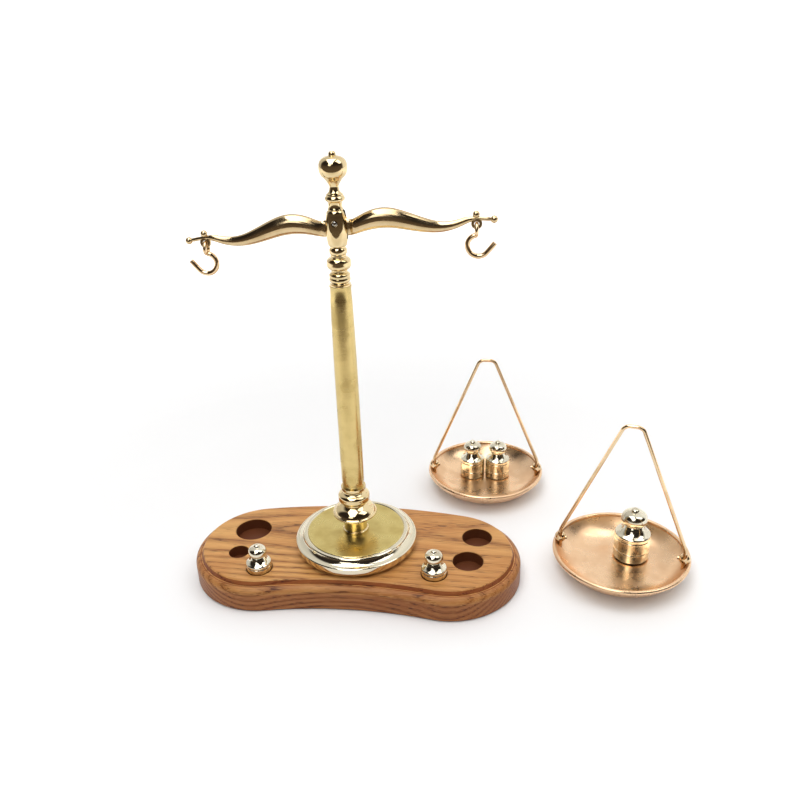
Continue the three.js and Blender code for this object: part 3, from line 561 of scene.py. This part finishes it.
# The head is a solid barrel slotted from above, in which the beam rocks on a cross pin. The
# tie rod is screwed into it from below, and its split spigot holds the cap.
PIVOT = Vector((0, 0, 216.806 * MM))
ACROSS, ALONG = (math.pi / 2, 0, 0), (0, math.pi / 2, 0)
HEAD_BOTTOM, HEAD_TOP = 199.2 * MM, 222.8 * MM
SPIGOT_RADIUS, SPIGOT_TOP = 2.9 * MM, 226 * MM
SLOT_SIZE, SLOT_MIDDLE = (14 * MM, 3.2 * MM, 19.8 * MM), (0, 0, 218.1 * MM)
PIN_BORE, PIN_CUT = 1.6 * MM, 14 * MM
TAPPED_MIDDLE, TAPPED_LENGTH = 202 * MM, 7.6 * MM


def block(size, middle):
    """A plain box at its middle, for a tool."""
    bpy.ops.object.select_all(action="DESELECT")
    bpy.ops.mesh.primitive_cube_add(size=1, location=middle)
    bpy.context.object.dimensions = size
    bpy.ops.object.transform_apply()
    return bpy.context.object


def ball(radius, middle, rings=24):
    """A plain ball at its middle, for a tool or to join on."""
    bpy.ops.object.select_all(action="DESELECT")
    bpy.ops.mesh.primitive_uv_sphere_add(
        segments=2 * rings, ring_count=rings, radius=radius, location=middle)
    bpy.ops.object.transform_apply()
    return bpy.context.object


head = turn("slotted_head", [
    (0, HEAD_BOTTOM, 0),
    *stack([
        (0.71, 0, 0),
        (0.71, 0.04, 0),
        (0.77, 0.06, 0),
        (0.77, 0.16, 0.03),
        (0.69, 0.19, 0),
        (0.69, 0.22, 0),
        (0.84, 0.25, 0.03),
        (1, 0.58, 0.03),
        (0.84, 0.93, 0.03),
        (0.72, 1, 0.03),
    ], radius=5.9 * MM, bottom=HEAD_BOTTOM, height=HEAD_TOP - HEAD_BOTTOM),
    (SPIGOT_RADIUS, HEAD_TOP, 0),
    (SPIGOT_RADIUS, SPIGOT_TOP, 0),
    (0, SPIGOT_TOP, 0),
])
carve(head, block(SLOT_SIZE, SLOT_MIDDLE))
carve(head, rod(ROD_BORE, (0, 0, TAPPED_MIDDLE), TAPPED_LENGTH))
carve(head, rod(PIN_BORE, PIVOT, PIN_CUT, ACROSS))
smooth(head, weighted=True)
fit(head, polished_brass, "stand", "polished_brass", "beam_head")


# The cap is a small turned cup pressed over the head's spigot, and the finial is a ball on a
# waisted neck whose stub is pressed into the cap.
CAP_BORE, CAP_TOP, CUP_FLOOR = 3.2 * MM, 230 * MM, 226.5 * MM
STUB_BORE, STUB_RADIUS, STUB_FOOT = 1.9 * MM, 1.6 * MM, 227 * MM
cap = turn("cup_cap", [
    (CAP_BORE, HEAD_TOP, 0),
    *stack([
        (0.8, 0, 0),
        (0.8, 0.08, 0),
        (0.74, 0.16, 0),
        (0.74, 0.5, -0.03),
        (0.86, 0.62, -0.02),
        (1, 0.7, 0),
        (1, 0.9, 0.04),
        (0.9, 1, 0),
    ], radius=5 * MM, bottom=HEAD_TOP, height=7.2 * MM),
    (STUB_BORE, CAP_TOP, 0),
    (STUB_BORE, CUP_FLOOR, 0),
    (CAP_BORE, CUP_FLOOR, 0),
])
fit(cap, polished_brass, "stand", "polished_brass", "head_cap")
ball_top = turn("ball_finial", [
    (0, STUB_FOOT, 0),
    (STUB_RADIUS, STUB_FOOT, 0),
    (STUB_RADIUS, CAP_TOP, 0),
    *stack([
        (0.6, 0, 0),
        (0.58, 0.04, 0.01),
        (0.34, 0.17, -0.06),
        (0.32, 0.21, 0),
        (0.84, 0.45, -0.05),
        (1, 0.66, 0.06),
        (0.5, 0.89, 0.16),
        (0.26, 0.91, 0),
        (0.26, 0.94, 0),
        (0, 1, 0.09),
    ], radius=7.25 * MM, bottom=CAP_TOP, height=21.4 * MM),
])
fit(ball_top, polished_brass, "stand", "polished_brass", "finial")


# A steel tie rod, washer and nut hold the board and the whole column together, and a domed
# steel pin through the head carries the beam.
bare_steel = metal("bare_steel", (0.62, 0.61, 0.59), (0.34, 0.32, 0.3),
                   aging=0.5, gloss=0.3, spread=0.2, marks=0.5, turned=False)
for hidden in ("tie_rod", "tie_washer", "tie_nut"):
    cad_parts[hidden].material_slots[0].material = bare_steel
PIN_RADIUS, PIN_LENGTH, PIN_DOME = 1.3 * MM, 11.2 * MM, 0.7 * MM
pin = rod(PIN_RADIUS, PIVOT, PIN_LENGTH, ACROSS, 48)
pin.name = "beam_pin"
apply(pin, "BEVEL", width=PIN_DOME, segments=5, limit_method="ANGLE")
smooth(pin, 50)
pin_steel = metal("pin_steel", (0.55, 0.53, 0.49), (0.34, 0.32, 0.28),
                  aging=0.4, gloss=0.08, spread=0.06, marks=0.3, turned=False)
fit(pin, pin_steel, "stand", "steel", "pivot_pin")


# The beam is one brass casting, filed and polished by hand: two S-curved arms that taper from
# a flat tongue in the head's slot to a small ball at each tip. Near it a drilled lug hangs
# under the neck and a round crest stands on it.
BEAM_TILT = math.radians(3.84)
# Each section of an arm: its distance from the pivot, the height of its middle against the
# pivot, and its own height and thickness, in mm.
ARM_ROWS = [
    (0, -2.19, 10.1, 2.6),
    (5, -2.95, 8.9, 2.6),
    (7, -3.3, 8.1, 2.6),
    (8.2, -3.2, 8.1, 4.9),
    (10.2, -2.6, 8.4, 6.4),
    (15.9, -0.5, 9.7, 7.4),
    (22.3, 0.58, 10.55, 7.9),
    (28.7, 0.13, 10.4, 7.8),
    (35.1, -1.71, 9.65, 7.3),
    (41.4, -3.8, 8.35, 6.4),
    (47.8, -5.66, 6.65, 5.3),
    (54.2, -6.58, 5.15, 4.2),
    (60.6, -5.73, 4.35, 3.5),
    (65.4, -3.97, 3.8, 2.95),
    (69, -3.4, 2.3, 2.1),
    (71.5, -3.4, 2, 2),
    (75.7, -3.9, 2, 2),
    (79.2, -4.35, 2, 2),
]
RING_SIDES = 16
RING_SHRINK = (4 + 2 * math.cos(2 * math.pi / RING_SIDES)) / 6
LUG_REACH, LUG_DROP, LUG_RADIUS, LUG_BORE = 70.93, 6, 2.8 * MM, 1.3 * MM
LUG_WIDTH, LUG_EDGE, BEAM_CUT = 2 * MM, 0.3 * MM, 8 * MM
CREST_BALL, CREST_RISE = 1.8 * MM, 4.7 * MM
TIP_BALL, TIP_REACH, TIP_DROP = 1.9 * MM, 79.7, 4.4
beam = rod(0.5 * MM / RING_SHRINK, PIVOT, 0.2 * MM, ALONG, RING_SIDES)
beam.name = "cast_beam"
bpy.ops.object.mode_set(mode="EDIT")
for side in (1, -1):
    select_at(beam, "faces", lambda spot: side * spot.x > 0.05 * MM)
    last = ARM_ROWS[0]
    bpy.ops.transform.translate(value=(0, 0, last[1] * MM))
    middle = PIVOT + Vector((side * 0.1, 0, last[1])) * MM
    bpy.ops.transform.resize(value=(1, last[3], last[2]), center_override=middle)
    for row in ARM_ROWS[1:]:
        reach = row[0] - max(last[0], 0.1)
        push((side * reach * MM, 0, (row[1] - last[1]) * MM))
        middle = PIVOT + Vector((side * row[0], 0, row[1])) * MM
        bpy.ops.transform.resize(
            value=(1, row[3] / last[3], row[2] / last[2]), center_override=middle)
        last = row
bpy.ops.object.mode_set(mode="OBJECT")
apply(beam, "SUBSURF", levels=2, render_levels=2)
for side in (1, -1):
    lug_place = PIVOT + Vector((side * LUG_REACH, 0, -LUG_DROP)) * MM
    lug = rod(LUG_RADIUS, lug_place, LUG_WIDTH, ACROSS)
    apply(lug, "BEVEL", width=LUG_EDGE, segments=3, limit_method="ANGLE")
    carve(beam, lug, "UNION")
    carve(beam, ball(CREST_BALL, lug_place + Vector((0, 0, CREST_RISE))), "UNION")
    tip_place = PIVOT + Vector((side * TIP_REACH, 0, -TIP_DROP)) * MM
    carve(beam, ball(TIP_BALL, tip_place), "UNION")
    carve(beam, rod(LUG_BORE, lug_place, BEAM_CUT, ACROSS, 48))
carve(beam, rod(PIN_BORE, PIVOT, BEAM_CUT, ACROSS, 48))
bpy.ops.object.mode_set(mode="EDIT")
bpy.ops.mesh.select_all(action="SELECT")
bpy.ops.transform.rotate(value=BEAM_TILT, orient_axis="Y", center_override=PIVOT)
bpy.ops.object.mode_set(mode="OBJECT")
smooth(beam, 40)
cast_brass = metal("cast_brass", (0.69, 0.53, 0.31), (0.46, 0.32, 0.15),
                   aging=0.5, gloss=0.14, spread=0.12, marks=0.3, turned=False)
fit(beam, cast_brass, "rocker", "polished_brass", "beam")


# Each hook is a brass wire with a closed eye through the beam's lug. Its shank curves to the
# inner side, an open bowl turns below it, and a straight tip points outwards. The left one is
# the right one turned round.
EYE_RADIUS, EYE_WIRE = 2.9 * MM, 1 * MM
HOOK_WIRE, HOOK_TIP = 1.35 * MM, 0.9 * MM
BOWL_DROP = 10.9 * MM
SHANK_CENTRE, SHANK_SWEEP = (0.47 * MM, 0, -BOWL_DROP), math.radians(84.7)
BOWL_CENTRE, BOWL_SWEEP = (1 * MM, 0, -BOWL_DROP), math.radians(140)
POINT_STEP = (4.05 * MM, 0, 4.826 * MM)
LEFT_EYE = Vector((-70.372, 0, 206.07)) * MM
RIGHT_EYE = Vector((71.175, 0, 215.571)) * MM
WIRE_SIDES = 7
drawn_brass = metal("drawn_brass", (0.86, 0.65, 0.4), (0.56, 0.37, 0.19),
                    aging=0.5, gloss=0.12, spread=0.1, marks=0.2, turned=False)


def swing(centre, sweep, steps):
    """Carries the wire's end round a centre in the XZ plane, counter-clockwise from the front."""
    bpy.ops.mesh.spin(steps=steps, angle=sweep, center=centre, axis=(0, 1, 0))


def thicken(radius, tip):
    """Makes the line drawn in edit mode into round wire with eased ends."""
    bpy.ops.mesh.select_all(action="SELECT")
    bpy.ops.mesh.remove_doubles(threshold=TINY)
    bpy.ops.object.mode_set(mode="OBJECT")
    bpy.ops.object.convert(target="CURVE")
    line = bpy.context.object
    line.data.bevel_depth = radius
    line.data.bevel_resolution = WIRE_SIDES
    line.data.use_fill_caps = True
    bpy.ops.object.convert(target="MESH")
    piece = bpy.context.object
    bpy.ops.object.mode_set(mode="EDIT")
    bpy.ops.mesh.select_all(action="SELECT")
    bpy.ops.mesh.remove_doubles(threshold=TINY)
    bpy.ops.mesh.normals_make_consistent(inside=False)
    bpy.ops.object.mode_set(mode="OBJECT")
    apply(piece, "BEVEL", width=tip, segments=4, limit_method="ANGLE", angle_limit=1.0)
    smooth(piece, 40)
    return piece


def settle(piece, name, place, turned=0.0, size=1.0):
    """A copy of the piece with its own mesh, put at its place, turned about Z and scaled."""
    only(piece)
    bpy.ops.object.duplicate()
    copy = bpy.context.object
    copy.name = name
    copy.location = place
    copy.rotation_euler.z = turned
    copy.scale = (size, size, size)
    bpy.ops.object.transform_apply()
    return copy


single_point("hook_wire", (0, 0, -2 * EYE_RADIUS))
swing(SHANK_CENTRE, SHANK_SWEEP, 18)
swing(BOWL_CENTRE, BOWL_SWEEP, 34)
push(POINT_STEP)
shank = thicken(HOOK_WIRE, HOOK_TIP)
bpy.ops.object.select_all(action="DESELECT")
bpy.ops.mesh.primitive_torus_add(
    major_radius=EYE_RADIUS, minor_radius=EYE_WIRE, major_segments=64, minor_segments=24,
    location=(0, 0, -EYE_RADIUS), rotation=ALONG)
bpy.ops.object.transform_apply()
carve(shank, bpy.context.object, "UNION")
smooth(shank, 40)
hook = settle(shank, "right_wire_hook", RIGHT_EYE)
fit(hook, drawn_brass, "right_hanger", "wire_brass", "right_hook")
hook = settle(shank, "left_wire_hook", LEFT_EYE, math.pi)
fit(hook, drawn_brass, "left_hanger", "wire_brass", "left_hook")
bpy.data.objects.remove(shank)


# Each pan is a thin sheet of rosy brass, spun to a shallow dish with a flat middle and a
# rolled rim, and polished inside. The rear one stands square, the front one is turned.
PANS = [
    ("rear", Vector((76.9, 104, 0)) * MM, 0),
    ("front", Vector((160.6, 11.3, 0)) * MM, math.radians(-14)),
]
PAN_FLAT = 20 * MM
WALL_CENTRE = 22.36 * MM
WALL_RADIUS = 21.76 * MM
WALL_SWEEP = math.radians(63.6)
WALL_HALF = 0.6 * MM
RIM_BEAD = 1.3 * MM
RIM_ROLL = math.radians(150)
STUD_REACH = 36.8 * MM
BAIL_AXIS = 15.4 * MM
STUD_BALL = 3.4 * MM
NOTCH_RADIUS = STUD_BALL + 0.3 * MM
STUD_HOLE, HOLE_LENGTH = 1.7 * MM, 14 * MM


def wall_point(offset, sweep):
    """A point of the dish's wall, offset from the middle of its thickness."""
    radius = WALL_RADIUS + offset
    return (PAN_FLAT + radius * math.sin(sweep), WALL_CENTRE - radius * math.cos(sweep), 0)


def bead_point(sweep):
    """A point of the rolled rim, by its angle from the wall's outward direction."""
    distance, height, _ = wall_point(0, WALL_SWEEP)
    return (distance + RIM_BEAD * math.cos(sweep), height + RIM_BEAD * math.sin(sweep), 0)


wall = [WALL_SWEEP * k / 24 for k in range(24)]
dish = turn("dish", [
    (0, 0, 0),
    *[wall_point(WALL_HALF, sweep) for sweep in wall],
    *[bead_point(WALL_SWEEP + RIM_ROLL * (k / 12 - 1)) for k in range(25)],
    *[wall_point(-WALL_HALF, sweep) for sweep in reversed(wall)],
    (0, 2 * WALL_HALF, 0),
], steps=160)
for side in (1, -1):
    carve(dish, rod(STUD_HOLE, (side * STUD_REACH, 0, HOLE_LENGTH / 2), HOLE_LENGTH))
    carve(dish, ball(NOTCH_RADIUS, (side * STUD_REACH, 0, BAIL_AXIS), 32))
smooth(dish)
rosy_brass = metal("rosy_brass", (0.9, 0.62, 0.385), (0.66, 0.4, 0.21),
                   aging=0.35, gloss=0.27, spread=0.12, marks=0.5)
for which, place, turned in PANS:
    pan = settle(dish, which + "_dish_spun", place, turned)
    fit(pan, rosy_brass, which + "_dish", "pan_brass", which + "_pan")
bpy.data.objects.remove(dish)


# A ball stud is riveted through the dish at each side, in a notch of the rim. It is slotted
# from above for the bail's leg and drilled towards the dish's middle for the bail's end.
STUD_FOOT, RIVET_RADIUS, RIVET_HEIGHT = 4.12 * MM, 2.2 * MM, 1 * MM
RIVET_EDGE, RIVET_DOME = 0.5 * MM, 0.2 * MM
POST = 1.4 * MM
BAIL_BORE, BORE_DEPTH = 1.4 * MM, 4.4 * MM
LEG_SLOT, SLOT_RISE = (2.8 * MM, 9 * MM, 6 * MM), 1.6 * MM
neck = math.asin(POST / STUD_BALL)
stud = turn("stud", [
    (0, STUD_FOOT, 0),
    (RIVET_RADIUS, STUD_FOOT + RIVET_EDGE, RIVET_DOME),
    (RIVET_RADIUS, STUD_FOOT + RIVET_HEIGHT, 0),
    (POST, STUD_FOOT + RIVET_HEIGHT, 0),
    *[(STUD_BALL * math.sin(neck + (math.pi - neck) * k / 20),
       BAIL_AXIS - STUD_BALL * math.cos(neck + (math.pi - neck) * k / 20), 0)
      for k in range(20)],
    (0, BAIL_AXIS + STUD_BALL, 0),
], steps=48)
carve(stud, rod(BAIL_BORE, (-BORE_DEPTH / 2, 0, BAIL_AXIS), BORE_DEPTH, ALONG, 48))
carve(stud, block(LEG_SLOT, (0, 0, BAIL_AXIS + SLOT_RISE)))
smooth(stud)
stud_brass = metal("stud_brass", (0.86, 0.65, 0.4), (0.56, 0.37, 0.19),
                   aging=0.4, gloss=0.12, spread=0.1, marks=0.4)
for which, place, turned in PANS:
    out = Vector((STUD_REACH * math.cos(turned), STUD_REACH * math.sin(turned), 0))
    for hand, way, about in (("left", -1, math.pi), ("right", 1, 0)):
        peg = settle(stud, which + "_" + hand + "_peg", place + way * out, turned + about)
        fit(peg, stud_brass, which + "_dish", "wire_brass", which + "_" + hand + "_stud")
bpy.data.objects.remove(stud)


# The bail is one brass wire bent to a tall loop: its ends turn in through the studs, so that
# it can fold down over the dish, and its top is a short bend that hangs on a hook.
BAIL_WIRE, BAIL_TIP = 1.1 * MM, 0.4 * MM
# The loop's corners, across and up, and the bend's radius at each one but the ends, in mm.
corners = [Vector(spot) * MM for spot in [
    (32.6, 15.4), (36.8, 15.4), (36.8, 21), (5, 98),
    (-5, 98), (-36.8, 21), (-36.8, 15.4), (-32.6, 15.4)]]
bends = [radius * MM for radius in (1.6, 6, 4.5, 4.5, 6, 1.6)]
single_point("bail_wire", (corners[0].x, 0, corners[0].y))
here = corners[0]
for before, corner, after, radius in zip(corners, corners[1:], corners[2:], bends):
    back, ahead = (before - corner).normalized(), (after - corner).normalized()
    half = back.angle(ahead) / 2
    start = corner + back * (radius / math.tan(half))
    centre = corner + (back + ahead).normalized() * (radius / math.sin(half))
    push((start.x - here.x, 0, start.y - here.y))
    swing((centre.x, 0, centre.y), math.pi - 2 * half, 12)
    here = corner + ahead * (radius / math.tan(half))
push((corners[-1].x - here.x, 0, corners[-1].y - here.y))
loop = thicken(BAIL_WIRE, BAIL_TIP)
for which, place, turned in PANS:
    bail = settle(loop, which + "_wire_bail", place, turned)
    fit(bail, drawn_brass, which + "_handle", "wire_brass", which + "_bail")
bpy.data.objects.remove(loop)


# The weights are solid brass turnings of one outline in three sizes: a body with two grooves,
# a drawn-in neck and a knob with a button on top.
MEDIUM_RADIUS = 8.8 * MM
HEIGHT_SHARE = 3.15
weight = turn("weight", [(0, 0, 0), *stack([
    (0.95, 0, 0),
    (1, 0.016, 0),
    (1, 0.17, 0),
    (0.96, 0.185, 0),
    (1, 0.2, 0),
    (1, 0.41, 0),
    (0.96, 0.425, 0),
    (1, 0.44, 0),
    (1, 0.47, 0),
    (0.94, 0.51, 0.02),
    (0.56, 0.64, -0.06),
    (0.5, 0.67, 0),
    (0.72, 0.82, 0.09),
    (0.36, 0.93, 0.09),
    (0.27, 0.935, 0),
    (0, 1, 0.09),
], radius=MEDIUM_RADIUS, bottom=0, height=HEIGHT_SHARE * MEDIUM_RADIUS)], steps=80)
weight_brass = metal("weight_brass", (0.82, 0.76, 0.6), (0.41, 0.35, 0.24),
                     aging=0.6, gloss=0.09, spread=0.1, marks=0.4)
# Each weight's place by name, its radius, and the middle of its foot, in mm.
for which, radius, place in [
    ("rear_left", 8.8, (67.434, 115.669, 1.699)),
    ("rear_right", 8.8, (85.794, 115.954, 1.676)),
    ("front", 10.8, (169.086, 22.969, 2.006)),
    ("board_left", 7.4, (-53.922, -28.641, 11.6)),
    ("board_right", 7.4, (49.59, -26.405, 11.6)),
]:
    poise = settle(weight, which + "_poise", Vector(place) * MM,
                   size=radius * MM / MEDIUM_RADIUS)
    fit(poise, weight_brass, which + "_mass", "weight_brass", which + "_weight")
bpy.data.objects.remove(weight)


# The table is a seamless white sweep under a long softbox, with a second one at the right and
# a weak one in front. The brass mirrors the bright sweep behind it and a dim room in front.
FLOOR_DEPTH, FLOOR_STRETCH, FLOOR_MIDDLE = 3.1, 1.7, (0.05, 1.12, 0)
WALL_RISE, WALL_BEND = 1.6, 0.7
BACK_EDGE = 2.5
bpy.ops.object.select_all(action="DESELECT")
bpy.ops.mesh.primitive_plane_add(size=FLOOR_DEPTH, location=FLOOR_MIDDLE)
sweep_floor = bpy.context.object
sweep_floor.name = "studio_floor"
sweep_floor.scale.x = FLOOR_STRETCH
bpy.ops.object.transform_apply()
bpy.ops.object.mode_set(mode="EDIT")
select_at(sweep_floor, "edges", lambda spot: spot.y > BACK_EDGE)
push((0, 0, WALL_RISE))
select_at(sweep_floor, "edges", lambda spot: spot.y > BACK_EDGE and spot.z < NEAR)
bpy.ops.mesh.bevel(offset=WALL_BEND, segments=16, profile=0.5)
bpy.ops.object.mode_set(mode="OBJECT")
smooth(sweep_floor, 60)
paper, tree, shader = new_finish("white_paper", Roughness=0.7, Emission_Strength=1.0)
spot = node(tree, "TexCoord").outputs["Object"]
far = node(tree, "VectorMath", {0: spot}, operation="LENGTH").outputs["Value"]
near = node(tree, "SeparateXYZ", {0: spot}).outputs["Y"]
# Painted shade: the paper is painted darker and warmer towards the front.
shade = ramp(tree, mask(tree, near, -0.35, -0.13), [(0.0, (0.6, 0.56, 0.5)), (1.0, grey(0.86))])
tree.links.new(shade, shader.inputs["Base Color"])
glow = ramp(tree, mask(tree, far, 0.12, 0.95), [(0.0, grey(0.05)), (1.0, grey(0.8))])
tree.links.new(glow, shader.inputs["Emission Color"])
sweep_floor.data.materials.append(paper)


def softbox(name, place, aim, wide, deep, power):
    """A rectangular soft light that points at the aim."""
    light = bpy.data.lights.new(name, "AREA")
    light.shape = "RECTANGLE"
    light.size, light.size_y = wide, deep
    light.energy = power
    lamp = bpy.data.objects.new(name, light)
    lamp.location = place
    lamp.rotation_euler = (Vector(aim) - Vector(place)).to_track_quat("-Z", "Y").to_euler()
    bpy.context.scene.collection.objects.link(lamp)


softbox("top_light", (-0.12, -0.45, 1.0), (-0.12, -0.45, 0), 0.55, 1.35, 8.9)
softbox("right_light", (0.75, -0.1, 1.0), (0.5, -0.05, 0), 0.5, 0.9, 3.4)
softbox("front_light", (-0.3, -1.1, 0.75), (0.04, 0, 0.15), 0.45, 0.45, 1.2)
studio = bpy.data.worlds.new("studio")
bpy.context.scene.world = studio
studio.use_nodes = True
tree = studio.node_tree
way = node(tree, "TexCoord").outputs["Generated"]
way = node(tree, "SeparateXYZ", {0: way}).outputs
sky = ramp(tree, mask(tree, way["X"], -0.9, 0.6), [(0.0, grey(0.7)), (1.0, grey(1.05))])
room = ramp(tree, mask(tree, way["Z"], -0.35, 0.45), [
    (0.0, (0.13, 0.1, 0.073)), (0.5, (0.09, 0.068, 0.05)), (1.0, (0.025, 0.02, 0.018))])
sky = blend_colours(tree, mask(tree, way["Y"], -0.05, 0.3), room, sky)
seen = node(tree, "LightPath").outputs["Is Camera Ray"]
sky = blend_colours(tree, seen, sky, (*grey(1.05), 1))
tree.links.new(sky, tree.nodes["Background"].inputs["Color"])
tree.nodes["Background"].inputs["Strength"].default_value = 1.0
bpy.context.scene.view_settings.view_transform = "Standard"

# The camera stands in front of the scale and a little to its right, and looks down on it.
AZIMUTH, ELEVATION, ROLL = 0.128, 0.447, -0.033
FOCAL_LENGTH = 35.57
CAMERA_PLACE = Vector((80.5, -395.2, 307.9)) * MM
back = Vector((math.sin(AZIMUTH) * math.cos(ELEVATION),
               -math.cos(AZIMUTH) * math.cos(ELEVATION), math.sin(ELEVATION)))
lens = bpy.data.cameras.new("photo_camera")
lens.sensor_width = 36
lens.lens = FOCAL_LENGTH
camera = bpy.data.objects.new("photo_camera", lens)
camera.location = CAMERA_PLACE
level = Vector((0, 0, 1)).cross(back).normalized()
right = level * math.cos(ROLL) + back.cross(level) * math.sin(ROLL)
camera.rotation_euler = Matrix((right, back.cross(right), back)).transposed().to_euler()
bpy.context.scene.collection.objects.link(camera)
bpy.context.scene.camera = camera
